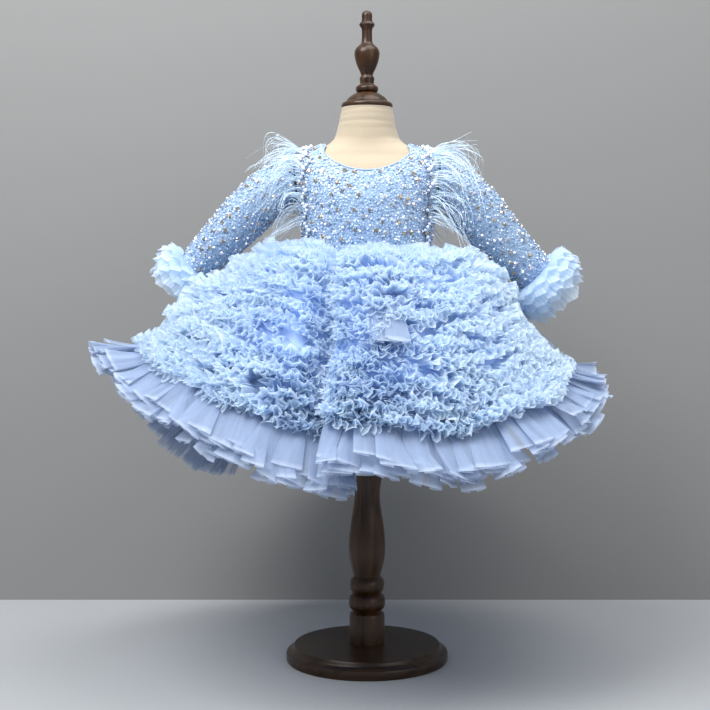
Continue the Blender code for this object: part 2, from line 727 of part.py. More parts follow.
def make_feather_trims(collection, feather):
    """A band inside each armhole, with locks that spread over the sleeve. The right one's
    locks are fewer, shorter and straight."""
    points, normals = trim_path()
    along = unit(np.gradient(points, axis=0))
    across = unit(np.cross(along, normals))
    across *= np.sign(across[:, :1])
    for name, side in (("feather_trim_left", 1.0), ("feather_trim_right", -1.0)):
        bm = bmesh.new()
        rings = []
        for point, normal, way in zip(points, normals, across):
            half = way * TRIM_WIDTH / 2
            thick = normal * TRIM_THICK
            corners = (point - half, point + half, point + half + thick, point - half + thick)
            rings.append([bm.verts.new(to_side(corner, side)) for corner in corners])
        outer_sides = []
        for first, second in zip(rings, rings[1:]):
            for k in range(4):
                m = (k + 1) % 4
                face = bm.faces.new((first[k], first[m], second[m], second[k]))
                if k == 1:
                    outer_sides.append(face)
        bm.faces.new(rings[0])
        bm.faces.new(rings[-1])
        bmesh.ops.recalc_face_normals(bm, faces=bm.faces)
        spacing = LOCK_SPACING if side > 0 else RIGHT_LOCK_SPACING
        for i, face in enumerate(outer_sides):
            share = (i + 0.5) / len(outer_sides)
            if i % spacing == 0 and FIRST_LOCK_SHARE < share < 1 - FIRST_LOCK_SHARE:
                grow_lock(bm, face, share, i, side)
        new_object(name, bm, collection, feather, 60.0)


def grow_lock(bm, face, share, index, side):
    """Draws one lock out of a side face of the band: outwards, clear of the sleeve, and
    drooping more towards the tip."""
    over = math.sin(math.pi * share)
    from_front = math.cos(math.pi * share)
    varies = math.sin(index * LOCK_VARIES_TURN)
    length = LOCK_LENGTH + LOCK_LENGTH_OVER * over**1.5 + LOCK_LENGTH_VARIES * varies
    steps = LOCK_STEPS
    if side < 0:
        steps = RIGHT_LOCK_STEPS
        length *= RIGHT_LOCK_SHARE
    for step in range(steps):
        bent = (step + 0.5) / steps
        heading = unit(
            np.array(
                (
                    side * (0.45 + 0.55 * over),
                    -from_front * (0.95 - 0.35 * bent),
                    0.5 * over**4 - (1.15 - 0.25 * over) * bent**1.2,
                )
            )
        )
        made = bmesh.ops.extrude_discrete_faces(bm, faces=[face])
        face = made["faces"][0]
        middle = np.array(face.calc_center_median())
        shrink = LOCK_TAPER if step < steps - 1 else LOCK_TIP
        for vertex in face.verts:
            vertex.co = middle + (np.array(vertex.co) - middle) * shrink + heading * length / steps


def main():
    for old in list(bpy.data.objects):
        bpy.data.objects.remove(old)
    collection = bpy.data.collections.new("Ruffled dress on a dress form")
    bpy.context.scene.collection.children.link(collection)
    wood = material("Turned dark brown wood", (0.11, 0.04, 0.018), 0.35)
    cover = material("Cream jersey cover", (0.80, 0.71, 0.58), 0.85)
    sequinned = material("Light blue sequinned cloth", (0.45, 0.65, 0.88), 0.4)
    tulle = material("Light blue tulle", (0.52, 0.69, 0.95), 0.8)
    feather = material("Light blue feather", (0.60, 0.75, 0.92), 0.7)
    make_stand(collection, wood, cover)
    make_bodice(collection, sequinned)
    make_sleeves(collection, sequinned)
    make_cuffs(collection, tulle)
    grid = skirt_grid()
    make_skirt_base(grid, collection, tulle)
    make_ruffle_rows(grid, collection, tulle)
    make_hem(grid, collection, tulle)
    make_feather_trims(collection, feather)


main()
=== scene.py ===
import json
import math
from functools import partial

import bpy
import numpy as np
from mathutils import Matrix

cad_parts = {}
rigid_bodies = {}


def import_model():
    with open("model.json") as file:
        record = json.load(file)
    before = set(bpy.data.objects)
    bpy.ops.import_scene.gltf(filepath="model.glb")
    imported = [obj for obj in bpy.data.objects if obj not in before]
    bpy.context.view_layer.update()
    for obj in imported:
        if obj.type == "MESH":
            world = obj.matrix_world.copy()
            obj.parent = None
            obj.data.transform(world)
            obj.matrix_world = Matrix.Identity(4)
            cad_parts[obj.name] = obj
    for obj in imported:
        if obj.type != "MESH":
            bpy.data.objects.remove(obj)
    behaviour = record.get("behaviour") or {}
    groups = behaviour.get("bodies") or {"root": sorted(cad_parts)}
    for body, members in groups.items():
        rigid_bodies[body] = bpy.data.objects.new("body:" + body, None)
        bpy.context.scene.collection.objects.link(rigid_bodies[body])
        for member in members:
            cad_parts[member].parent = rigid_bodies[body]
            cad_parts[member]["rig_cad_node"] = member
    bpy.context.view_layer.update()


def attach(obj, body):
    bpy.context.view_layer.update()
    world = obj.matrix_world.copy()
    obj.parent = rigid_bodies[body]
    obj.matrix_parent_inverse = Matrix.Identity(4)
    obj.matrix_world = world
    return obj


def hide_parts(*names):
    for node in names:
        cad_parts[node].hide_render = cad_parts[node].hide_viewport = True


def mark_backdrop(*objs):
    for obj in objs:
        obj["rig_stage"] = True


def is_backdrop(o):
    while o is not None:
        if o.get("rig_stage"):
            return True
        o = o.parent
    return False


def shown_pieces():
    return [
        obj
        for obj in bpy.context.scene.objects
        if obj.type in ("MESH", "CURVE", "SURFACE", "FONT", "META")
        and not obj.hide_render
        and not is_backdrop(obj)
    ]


# Looks of the light blue ruffled dress on its dress form. Metres, +Z up, the dress faces -Y.
# Tables are in millimetres and degrees, and left is the wearer's left, +X.

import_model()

mm = 0.001
neckTop = 889.5 * mm
armPlate = 114.5 * mm
clothOffForm = 2.5 * mm
skirtWaist = 626.5 * mm

# height, half width, half depth, how far back
formSections = (
    (480.3, 88.0, 70.0, 0.0), (487.0, 100.0, 80.0, 0.0), (515.0, 107.0, 86.0, 0.0),
    (555.0, 105.0, 84.0, 0.0), (590.0, 101.0, 81.0, 0.0), (618.0, 98.0, 78.0, 0.0),
    (645.0, 98.0, 78.0, 0.0), (675.0, 100.5, 81.0, 0.0), (705.0, 103.5, 83.5, 0.0),
    (735.0, 108.0, 83.5, 0.0), (758.0, 116.0, 80.0, 1.0), (778.0, 123.5, 74.0, 2.0),
    (792.0, 125.5, 67.5, 3.0), (802.0, 121.5, 61.0, 4.0), (810.0, 113.0, 56.0, 5.0),
    (817.0, 98.0, 52.5, 5.0), (823.0, 80.0, 49.5, 5.0), (830.0, 63.0, 47.0, 5.0),
    (842.0, 52.0, 45.0, 5.0), (864.0, 46.0, 43.0, 5.0), (889.5, 41.0, 41.0, 5.0),
)

# the sections are a little squarer than ellipses on the body, and true ellipses on the neck
roundness = {"neckFrom": 0.80, "within": 0.04, "body": 2.3, "neckLess": 0.3}

# height at the side edge, at the centre front and at the centre back
bodiceRows = (
    (628.0, 628.0, 628.0), (656.0, 654.0, 656.0), (686.0, 678.0, 684.0), (716.0, 700.0, 710.0),
    (740.0, 718.0, 732.0), (744.5, 722.0, 737.0), (752.0, 729.0, 745.0), (765.0, 740.0, 757.0),
    (779.0, 750.0, 768.0), (792.0, 759.0, 778.0), (802.0, 766.0, 786.0), (809.0, 772.0, 793.0),
    (813.5, 774.0, 797.0), (817.5, 776.5, 800.0), (821.5, 779.0, 803.0), (825.0, 781.0, 805.0),
)
bodiceRound = 0.1  # metres round the bodice for one radian, where its cloth is laid flat
neckline = {"front": 0.781, "back": 0.805, "side": 0.825, "roundness": 7}  # heights
armholeLow = (740.0 * mm, 109.0 * mm)
armholeHigh = (813.5 * mm, 117.0 * mm)

# left out, left up, right out, right up, back, half high, half deep
sleeveSections = (
    (134.0, 766.0, 134.0, 768.0, 3.0, 39.0, 37.0), (158.0, 744.0, 160.0, 751.0, 5.0, 41.5, 38.0),
    (186.0, 714.0, 191.0, 722.0, 8.0, 41.5, 38.0), (215.0, 679.0, 222.0, 690.0, 12.0, 38.5, 36.0),
    (249.0, 646.0, 256.0, 656.0, 16.0, 33.5, 33.0), (280.0, 616.0, 285.0, 627.0, 20.0, 29.0, 29.0),
)

# angle, reach and height of the base cloth's edge, reach and height of the hem, crown, fullness
skirtTable = (
    (-10.0, 334.0, 412.0, 392.0, 345.0, 60.0, 1.0), (5.0, 336.0, 414.0, 388.0, 342.0, 62.0, 1.0),
    (20.0, 338.0, 400.0, 392.0, 329.0, 55.0, 1.0), (35.0, 338.0, 418.0, 400.0, 351.0, 48.0, 1.0),
    (52.0, 324.0, 446.0, 396.0, 388.0, 40.0, 1.0), (72.0, 302.0, 468.0, 378.0, 426.0, 20.0, 0.75),
    (90.0, 304.0, 474.0, 366.0, 440.0, -2.0, 0.5), (107.0, 316.0, 468.0, 371.0, 418.0, 2.0, 0.7),
    (125.0, 322.0, 436.0, 376.0, 360.0, 28.0, 0.95), (150.0, 312.0, 384.0, 366.0, 310.0, 50.0, 1.0),
    (180.0, 312.0, 366.0, 362.0, 292.0, 55.0, 1.0), (210.0, 310.0, 350.0, 362.0, 272.0, 52.0, 1.0),
    (228.0, 308.0, 340.0, 362.0, 262.0, 40.0, 0.95), (246.0, 314.0, 386.0, 382.0, 323.0, 12.0, 0.7),
    (260.0, 326.0, 444.0, 404.0, 402.0, -12.0, 0.45), (272.0, 344.0, 482.0, 428.0, 462.0, -18.0, 0.45),
    (286.0, 350.0, 503.0, 433.0, 484.0, 10.0, 0.75), (302.0, 345.0, 482.0, 422.0, 438.0, 50.0, 1.0),
    (318.0, 340.0, 456.0, 406.0, 395.0, 70.0, 1.0), (333.0, 330.0, 427.0, 392.0, 352.0, 58.0, 1.0),
    (343.0, 312.0, 405.0, 378.0, 325.0, 34.0, 0.75), (350.0, 290.0, 392.0, 361.0, 312.0, 10.0, 0.35),
    (357.0, 274.0, 384.0, 348.0, 308.0, -6.0, 0.25),
)
firstAngle, lastAngle = skirtTable[0][0], skirtTable[-1][0]


def column(table, place):
    return np.array([row[place] for row in table], float)


def unit(vectors):
    return vectors / np.maximum(np.linalg.norm(vectors, axis=-1, keepdims=True), 1e-12)


def smoothBetween(x, xs, ys):
    x = np.clip(x, xs[0], xs[-1])
    slopes = np.diff(ys) / np.diff(xs)
    inner = slopes[:-1] * slopes[1:]
    mean = 2 * inner / np.where(inner > 0, slopes[:-1] + slopes[1:], 1.0)
    tangents = np.concatenate((slopes[:1], np.where(inner > 0, mean, 0.0), slopes[-1:]))
    i = np.clip(np.searchsorted(xs, x) - 1, 0, len(xs) - 2)
    width = xs[i + 1] - xs[i]
    t = (x - xs[i]) / width
    return (
        (2 * t**3 - 3 * t**2 + 1) * ys[i] + (t**3 - 2 * t**2 + t) * width * tangents[i]
        + (3 * t**2 - 2 * t**3) * ys[i + 1] + (t**3 - t**2) * width * tangents[i + 1]
    )


def softNoise(places, step, rng, closed=None):  # smooth random values from -1 to 1, one knot a step
    places = np.asarray(places, float)
    knots = int((closed or places.max() - min(0.0, places.min())) / step) + 4
    values = rng.uniform(-1.0, 1.0, knots)
    x = (places - min(0.0, places.min())) / step
    if closed:
        x = places / closed * (knots - 4)
        values[knots - 4:] = values[:4]
    i = np.clip(np.floor(x).astype(int), 0, knots - 2)
    t = x - i
    t = t * t * (3 - 2 * t)
    return values[i] * (1 - t) + values[i + 1] * t


def runAlong(line):  # length from the line's start to each of its points
    return np.concatenate(([0.0], np.cumsum(np.linalg.norm(np.diff(line, axis=0), axis=1))))


def blend(table, j, i, b, a, nextI=None):  # a value between four neighbours in a table
    nextI = i + 1 if nextI is None else nextI
    upper = table[j, i] * (1 - a) + table[j, nextI] * a
    lower = table[j + 1, i] * (1 - a) + table[j + 1, nextI] * a
    return upper * (1 - b) + lower * b


def formSize(height, place):
    return smoothBetween(height / mm, column(formSections, 0), column(formSections, place)) * mm


def formPoint(angle, height):
    angle, height = np.broadcast_arrays(np.asarray(angle, float), np.asarray(height, float))
    neck = np.clip((height - roundness["neckFrom"]) / roundness["within"], 0.0, 1.0)
    power = 2.0 / (roundness["body"] - roundness["neckLess"] * neck)
    side, front = np.sin(angle), np.cos(angle)
    x = np.sign(side) * np.abs(side) ** power * formSize(height, 1)
    y = -np.sign(front) * np.abs(front) ** power * formSize(height, 2)
    return np.stack((x, y + formSize(height, 3), height), axis=-1)


def formNormal(angle, height):
    turn, rise = math.radians(3.0), 1.5 * mm
    roundIt = formPoint(angle + turn, height) - formPoint(angle - turn, height)
    up = formPoint(angle, height + rise) - formPoint(angle, height - rise)
    return unit(np.cross(roundIt, up))


def offForm(angle, height, out):
    out = np.asarray(out, float)
    return formPoint(angle, height) + formNormal(angle, height) * out[..., None]


# meshes


def keepMesh(name, points, faces, smooth=True, uvs=None, tints=None):
    mesh = bpy.data.meshes.new(name)
    mesh.vertices.add(len(points))
    mesh.vertices.foreach_set("co", np.asarray(points, np.float32).ravel())
    sizes = faces.shape[1]
    mesh.loops.add(faces.size)
    mesh.loops.foreach_set("vertex_index", faces.astype(np.int32).ravel())
    mesh.polygons.add(len(faces))
    mesh.polygons.foreach_set("loop_start", np.arange(0, faces.size, sizes, dtype=np.int32))
    mesh.update(calc_edges=True)
    mesh.validate()
    if smooth:
        mesh.shade_smooth()
    if uvs is not None:
        layer = mesh.uv_layers.new(name="cut")
        layer.data.foreach_set("uv", np.asarray(uvs, np.float32)[faces.ravel()].ravel())
    if tints is not None:
        spread = mesh.attributes.new("tint", "FLOAT", "POINT")
        spread.data.foreach_set("value", np.asarray(tints, np.float32))
    made = bpy.data.objects.new(name, mesh)
    bpy.context.scene.collection.objects.link(made)
    return made


def gridFaces(rows, columns, closed, start=0):
    i = np.arange(rows - 1)[:, None] * columns
    last = columns if closed else columns - 1
    j = np.arange(last)[None, :]
    k = (j + 1) % columns
    return (np.stack((i + j, i + k, i + columns + k, i + columns + j), axis=-1).reshape(-1, 4) + start)


class Strips:  # grids of cloth, gathered into one piece
    def __init__(self):
        self.points, self.faces, self.uvs = [], [], []
        self.count, self.length, self.depths = 0, 0.0, []

    def add(self, grid, closed=False):
        rows, columns = grid.shape[:2]
        steps = np.linalg.norm(np.diff(grid, axis=1), axis=-1)
        run = np.concatenate((np.zeros((rows, 1)), np.cumsum(steps, axis=1)), axis=1)
        down = np.linalg.norm(np.diff(grid, axis=0), axis=-1)
        fall = np.concatenate((np.zeros((1, columns)), np.cumsum(down, axis=0)), axis=0)
        along = run.mean(axis=0)[None, :] + self.length + np.zeros((rows, 1))
        self.uvs.append(np.stack((along, fall / fall[-1:].mean()), axis=-1).reshape(-1, 2))
        self.points.append(grid.reshape(-1, 3))
        self.faces.append(gridFaces(rows, columns, closed, self.count))
        self.count += rows * columns
        self.length += float(run[:, -1].mean())
        self.depths.append(float(fall[-1].mean()))

    def keep(self, name):
        points, faces, uvs = (np.concatenate(part) for part in (self.points, self.faces, self.uvs))
        made = keepMesh(name, points, faces, True, uvs)
        self.flat = (float(np.mean(self.depths)), self.length)
        return made


def selectOnly(made):
    bpy.ops.object.select_all(action="DESELECT")
    made.select_set(True)
    bpy.context.view_layer.objects.active = made


def applyAll(made):
    selectOnly(made)
    for modifier in list(made.modifiers):
        bpy.ops.object.modifier_apply(modifier=modifier.name)


def thicken(made, wall, offset=-1.0):
    wallStep = made.modifiers.new("Thickness", "SOLIDIFY")
    wallStep.thickness = wall
    wallStep.offset = offset
    applyAll(made)


def wear(made, finish):
    made.data.materials.clear()
    made.data.materials.append(finish)
    return made


def settle(made, finish, nodes=()):
    wear(made, finish)
    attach(made, "root")
    if nodes:
        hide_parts(*nodes)
    return made


def placed(name, template, places, frames, sizes, tints=None):  # one mesh of many copies
    points, faces = template
    count = len(places)
    moved = np.einsum("nij,vj->nvi", frames, points) * sizes[:, None, None] + places[:, None, :]
    joined = (faces[None] + (np.arange(count) * len(points))[:, None, None]).reshape(-1, faces.shape[1])
    spread = None if tints is None else np.repeat(tints, len(points))
    return keepMesh(name, moved.reshape(-1, 3), joined, True, None, spread)


def templateFrom(maker):  # the points and triangles of a primitive that maker adds
    bpy.ops.object.select_all(action="DESELECT")
    maker()
    made = bpy.context.active_object
    selectOnly(made)
    bpy.ops.object.mode_set(mode="EDIT")
    bpy.ops.mesh.select_all(action="SELECT")
    bpy.ops.mesh.quads_convert_to_tris()
    bpy.ops.object.mode_set(mode="OBJECT")
    points = np.array([vertex.co[:] for vertex in made.data.vertices])
    faces = np.array([list(face.vertices) for face in made.data.polygons])
    mesh = made.data
    bpy.data.objects.remove(made)
    bpy.data.meshes.remove(mesh)
    return points, faces


def framesAlong(normals, rng, tip):  # frames whose third axis is the normal, tipped and spun at random
    count = len(normals)
    normals = unit(normals + rng.normal(0.0, tip, (count, 3)))
    aside = unit(np.cross(normals, unit(rng.normal(0.0, 1.0, (count, 3)))))
    return np.stack((aside, np.cross(normals, aside), normals), axis=-1)


# finishes


def nodeGroup(name, inputs, outputs):
    group = bpy.data.node_groups.new(name, "ShaderNodeTree")
    for label, kind, value in inputs:
        made = group.interface.new_socket(name=label, in_out="INPUT", socket_type=kind)
        if value is not None:
            made.default_value = value
    for label, kind in outputs:
        group.interface.new_socket(name=label, in_out="OUTPUT", socket_type=kind)
    return group, group.nodes.new("NodeGroupInput"), group.nodes.new("NodeGroupOutput")


def addNode(tree, kind, filled=None, **values):
    made = tree.nodes.new(kind)
    for label, value in values.items():
        setattr(made, label, value)
    for label, value in (filled or {}).items():
        made.inputs[label].default_value = value
    return made


def wire(tree, *links):  # each link: a node, its output, the next node, its input
    for start, output, end, entry in links:
        tree.links.new(start.outputs[output], end.inputs[entry])


def finish(name, colour, roughness, **values):
    made = bpy.data.materials.new(name)
    made.use_nodes = True
    shader = made.node_tree.nodes["Principled BSDF"]
    shader.inputs["Base Color"].default_value = (*colour, 1.0)
    shader.inputs["Roughness"].default_value = roughness
    for label, value in values.items():
        shader.inputs[label.replace("_", " ")].default_value = value
    made.diffuse_color = (*colour, 1.0)
    return made, shader


def grainGroup():  # wood grain along Z: colour, height and roughness
    group, given, out = nodeGroup(
        "Turned wood grain",
        [("Vector", "NodeSocketVector", None), ("Dark", "NodeSocketColor", (0.02, 0.006, 0.003, 1.0)),
         ("Light", "NodeSocketColor", (0.12, 0.045, 0.02, 1.0)), ("Fineness", "NodeSocketFloat", 1.0)],
        [("Color", "NodeSocketColor"), ("Height", "NodeSocketFloat"), ("Roughness", "NodeSocketFloat")],
    )
    streaky = {"Scale": 9.0, "Detail": 8.0, "Roughness": 0.6, "Distortion": 0.6}
    stretch = addNode(group, "ShaderNodeVectorMath", operation="SCALE")
    streak = addNode(group, "ShaderNodeTexNoise", streaky)
    pores = addNode(group, "ShaderNodeTexNoise", {"Scale": 60.0, "Detail": 3.0})
    ramp = addNode(group, "ShaderNodeMapRange", {"From Min": 0.35, "From Max": 0.68})
    mix = addNode(group, "ShaderNodeMix", data_type="RGBA")
    rough = addNode(group, "ShaderNodeMapRange", {"To Min": 0.24, "To Max": 0.4})
    wire(
        group,
        (given, "Vector", stretch, 0), (given, "Fineness", stretch, "Scale"),
        (stretch, 0, streak, "Vector"), (stretch, 0, pores, "Vector"),
        (streak, "Fac", ramp, "Value"), (ramp, "Result", mix, "Factor"),
        (given, "Dark", mix, "A"), (given, "Light", mix, "B"), (mix, "Result", out, "Color"),
        (pores, "Fac", out, "Height"), (streak, "Fac", rough, "Value"), (rough, "Result", out, "Roughness"),
    )
    return group


def weaveGroup():  # a fine woven or knitted height and a soft mottle
    group, given, out = nodeGroup(
        "Cloth weave",
        [("Vector", "NodeSocketVector", None), ("Threads", "NodeSocketFloat", 900.0),
         ("Mottle", "NodeSocketFloat", 12.0)],
        [("Height", "NodeSocketFloat"), ("Mottle", "NodeSocketFloat")],
    )
    threads = {"Distortion": 1.5, "Detail": 1.0}
    first = addNode(group, "ShaderNodeTexWave", threads, bands_direction="X")
    second = addNode(group, "ShaderNodeTexWave", threads, bands_direction="Z")
    crossed = addNode(group, "ShaderNodeMath", operation="MULTIPLY")
    mottle = addNode(group, "ShaderNodeTexNoise", {"Detail": 4.0})
    wire(
        group,
        (given, "Vector", first, "Vector"), (given, "Threads", first, "Scale"),
        (given, "Vector", second, "Vector"), (given, "Threads", second, "Scale"),
        (first, "Fac", crossed, 0), (second, "Fac", crossed, 1), (crossed, 0, out, "Height"),
        (given, "Vector", mottle, "Vector"), (given, "Mottle", mottle, "Scale"),
        (mottle, "Fac", out, "Mottle"),
    )
    return group


def netGroup():  # gathered net: paler towards its cut edge, its deeper root colour being painted shade and its pale cut rim a painted highlight; thicker towards its cut edge, with fine streaks down it
    group, given, out = nodeGroup(
        "Gathered net",
        [("Vector", "NodeSocketVector", None), ("Shaded root", "NodeSocketColor", (0.5, 0.6, 0.9, 1.0)),
         ("Edge", "NodeSocketColor", (0.7, 0.8, 1.0, 1.0)),
         ("Rim highlight", "NodeSocketColor", (0.9, 0.95, 1.0, 1.0)),
         ("Veil", "NodeSocketFloat", 0.5), ("Rim veil", "NodeSocketFloat", 0.8),
         ("Streaks", "NodeSocketFloat", 400.0)],
        [("Color", "NodeSocketColor"), ("Alpha", "NodeSocketFloat"), ("Height", "NodeSocketFloat")],
    )
    # Root to Edge: the colour grows paler away from the root, the deeper root being painted shade. Rim: a
    # paler band along the cut edge, a painted highlight, where the net is also denser.
    rimStart = {"From Min": 0.93, "From Max": 1.0}
    unevenness = {"From Min": 0.3, "From Max": 0.7, "To Min": 0.82, "To Max": 1.15}
    split = addNode(group, "ShaderNodeSeparateXYZ")
    fall = addNode(group, "ShaderNodeMapRange", {"From Max": 0.9})
    rim = addNode(group, "ShaderNodeMapRange", rimStart, interpolation_type="SMOOTHSTEP")
    colour = addNode(group, "ShaderNodeMix", data_type="RGBA")
    rimHighlightColour = addNode(group, "ShaderNodeMix", data_type="RGBA")
    veil = addNode(group, "ShaderNodeMix", data_type="FLOAT")
    wide = addNode(group, "ShaderNodeMath", operation="MULTIPLY")
    joined = addNode(group, "ShaderNodeCombineXYZ")
    streaks = addNode(group, "ShaderNodeTexNoise", {"Scale": 1.0, "Detail": 2.0}, noise_dimensions="2D")
    thick = addNode(group, "ShaderNodeMapRange", unevenness)
    alpha = addNode(group, "ShaderNodeMath", operation="MULTIPLY", use_clamp=True)
    wire(
        group,
        (given, "Vector", split, "Vector"), (split, "Y", fall, "Value"), (split, "Y", rim, "Value"),
        (fall, "Result", colour, "Factor"), (given, "Shaded root", colour, "A"), (given, "Edge", colour, "B"),
        (rim, "Result", rimHighlightColour, "Factor"), (colour, "Result", rimHighlightColour, "A"),
        (given, "Rim highlight", rimHighlightColour, "B"), (rimHighlightColour, "Result", out, "Color"),
        (split, "X", wide, 0), (given, "Streaks", wide, 1),
        (wide, 0, joined, "X"), (split, "Y", joined, "Y"),
        (joined, 0, streaks, "Vector"), (streaks, "Fac", thick, "Value"), (streaks, "Fac", out, "Height"),
        (rim, "Result", veil, "Factor"), (given, "Veil", veil, "A"), (given, "Rim veil", veil, "B"),
        (veil, "Result", alpha, 0), (thick, "Result", alpha, 1), (alpha, 0, out, "Alpha"),
    )
    return group


grain, weave, net = grainGroup(), weaveGroup(), netGroup()


def woodFinish(name, stretch, dark, light):
    made, shader = finish(name, light, 0.3, Coat_Weight=0.06, Coat_Roughness=0.2, Specular_IOR_Level=0.28)
    tree = made.node_tree
    place = addNode(tree, "ShaderNodeTexCoord")
    turn = addNode(tree, "ShaderNodeMapping", {"Scale": stretch})
    colours = {"Dark": (*dark, 1.0), "Light": (*light, 1.0)}
    wood = addNode(tree, "ShaderNodeGroup", colours, node_tree=grain)
    bump = addNode(tree, "ShaderNodeBump", {"Strength": 0.08, "Distance": 0.001})
    wire(
        tree,
        (place, "Object", turn, "Vector"), (turn, "Vector", wood, "Vector"),
        (wood, "Color", shader, "Base Color"), (wood, "Roughness", shader, "Roughness"),
        (wood, "Height", bump, "Height"), (bump, "Normal", shader, "Normal"),
    )
    return made


def clothFinish(name, colour, deep, roughness, threads, strength, sheen):
    made, shader = finish(name, colour, roughness, Sheen_Weight=sheen)
    tree = made.node_tree
    place = addNode(tree, "ShaderNodeTexCoord")
    woven = addNode(tree, "ShaderNodeGroup", {"Threads": threads}, node_tree=weave)
    mix = addNode(tree, "ShaderNodeMix", {"A": (*deep, 1.0), "B": (*colour, 1.0)}, data_type="RGBA")
    bump = addNode(tree, "ShaderNodeBump", {"Strength": strength, "Distance": 0.0004})
    wire(
        tree,
        (place, "Object", woven, "Vector"), (woven, "Mottle", mix, "Factor"),
        (mix, "Result", shader, "Base Color"), (woven, "Height", bump, "Height"),
        (bump, "Normal", shader, "Normal"),
    )
    return made


def tulleFinish(name, root, edge, rim, veil, rimVeil, streaks, through):  # sheer net; its deeper colour at the root is painted shade, its pale cut rim a painted highlight
    look = {"Sheen_Weight": 0.08, "Sheen_Roughness": 0.4, "Specular_IOR_Level": 0.15}
    made, shader = finish(name, edge, 0.85, **look)
    tree = made.node_tree
    cut = addNode(tree, "ShaderNodeUVMap", uv_map="cut")
    colours = {"Shaded root": (*root, 1.0), "Edge": (*edge, 1.0), "Rim highlight": (*rim, 1.0)}
    sheerness = {"Veil": veil, "Rim veil": rimVeil, "Streaks": streaks}
    sheer = addNode(tree, "ShaderNodeGroup", {**colours, **sheerness}, node_tree=net)
    bump = addNode(tree, "ShaderNodeBump", {"Strength": 0.2, "Distance": 0.0008})
    glow = addNode(tree, "ShaderNodeBsdfTranslucent")  # light that comes through the net from behind
    clear = addNode(tree, "ShaderNodeBsdfTransparent")
    lit = addNode(tree, "ShaderNodeMixShader")
    soft = addNode(tree, "ShaderNodeMixShader", {"Fac": through})
    wire(
        tree,
        (cut, "UV", sheer, "Vector"),
        (sheer, "Color", shader, "Base Color"), (sheer, "Alpha", shader, "Alpha"),
        (sheer, "Height", bump, "Height"), (bump, "Normal", shader, "Normal"),
        (sheer, "Color", glow, "Color"), (bump, "Normal", glow, "Normal"), (sheer, "Alpha", lit, "Fac"),
        (clear, "BSDF", lit, 1), (glow, "BSDF", lit, 2),
        (shader, "BSDF", soft, 1), (lit, "Shader", soft, 2),
        (soft, "Shader", tree.nodes["Material Output"], "Surface"),
    )
    return made


def tintFinish(name, stops, roughness, **values):  # small pieces whose colour comes from their own tint
    made, shader = finish(name, stops[0][1], roughness, **values)
    tree = made.node_tree
    own = addNode(tree, "ShaderNodeAttribute", attribute_name="tint")
    ramp = addNode(tree, "ShaderNodeValToRGB")
    ramp.color_ramp.interpolation = "CONSTANT"
    while len(ramp.color_ramp.elements) < len(stops):
        ramp.color_ramp.elements.new(0.5)
    for element, (place, colour) in zip(ramp.color_ramp.elements, stops):
        element.position = place
        element.color = (*colour, 1.0)
    wire(tree, (own, "Fac", ramp, "Fac"), (ramp, "Color", shader, "Base Color"))
    return made


poleWood = woodFinish("Dark turned wood", (9.0, 9.0, 0.9), (0.012, 0.005, 0.002), (0.062, 0.027, 0.011))
boardWood = woodFinish("Dark board wood", (1.2, 8.0, 8.0), (0.010, 0.005, 0.002), (0.045, 0.021, 0.009))
cloths = {  # colour, deeper colour, roughness, threads, how strong the weave is, sheen
    "Cream jersey": ((0.47, 0.395, 0.295), (0.42, 0.35, 0.25), 0.85, 700.0, 0.35, 0.2),
    "Blue sequin ground": ((0.38, 0.54, 0.76), (0.32, 0.47, 0.72), 0.5, 1200.0, 0.6, 0.3),
    "Blue skirt ground": ((0.54, 0.70, 1.0), (0.46, 0.62, 1.0), 0.75, 1400.0, 0.3, 0.3),
}
# colours of root (painted shade), edge and cut rim (painted highlight), how dense the net and its rim are,
# streaks, light let through
tulles = {
    "Blue frill tulle": ((0.60, 0.76, 1.0), (0.76, 0.88, 1.0), (0.80, 0.91, 1.0), 0.6, 0.7, 200.0, 0.5),
    # the hem's net is the frills' blue net made darker and greyer: painted shade under the frills, away
    # from the top light
    "Blue hem tulle in painted shade": ((0.36, 0.47, 0.69), (0.42, 0.52, 0.70), (0.54, 0.63, 0.79), 0.46, 0.62, 90.0, 0.3),
    "Blue cuff tulle": ((0.60, 0.76, 1.0), (0.75, 0.88, 1.0), (0.80, 0.91, 1.0), 0.66, 0.66, 260.0, 0.5),
}
tints = {  # where each colour starts among the pieces, and the colour
    "Blue sequins": (
        (0.0, (0.37, 0.53, 0.75)), (0.34, (0.46, 0.61, 0.79)), (0.70, (0.76, 0.88, 1.0)),
        (0.84, (0.15, 0.24, 0.42)),
    ),
    # the sleeves' sequins: the bodice's sequin colours darkened, painted shade on the sleeves
    "Blue sleeve sequins in painted shade": (
        (0.0, (0.29, 0.42, 0.61)), (0.34, (0.36, 0.49, 0.65)), (0.76, (0.56, 0.68, 0.85)),
        (0.86, (0.13, 0.21, 0.38)),
    ),
    "Seed beads": ((0.0, (0.50, 0.68, 0.92)), (0.45, (0.86, 0.93, 1.0)), (0.75, (0.22, 0.34, 0.58))),
    "Pearls": ((0.0, (0.78, 0.84, 0.95)), (0.6, (0.60, 0.67, 0.80)), (0.85, (0.92, 0.95, 1.0))),
    "Crystals": (
        (0.0, (0.40, 0.32, 0.23)), (0.4, (0.27, 0.26, 0.27)), (0.6, (0.55, 0.55, 0.58)),
        (0.85, (0.85, 0.88, 0.95)),
    ),
}
jersey, bodiceCloth, lining = (clothFinish(name, *values) for name, values in cloths.items())
frillTulle, shadedHemTulle, cuffTulle = (tulleFinish(name, *values) for name, values in tulles.items())
sequinFinish, shadedSleeveSequinFinish = (
    tintFinish(name, tints[name], 0.34, Metallic=0.12, Coat_Weight=0.5, Coat_Roughness=0.12)
    for name in ("Blue sequins", "Blue sleeve sequins in painted shade")
)
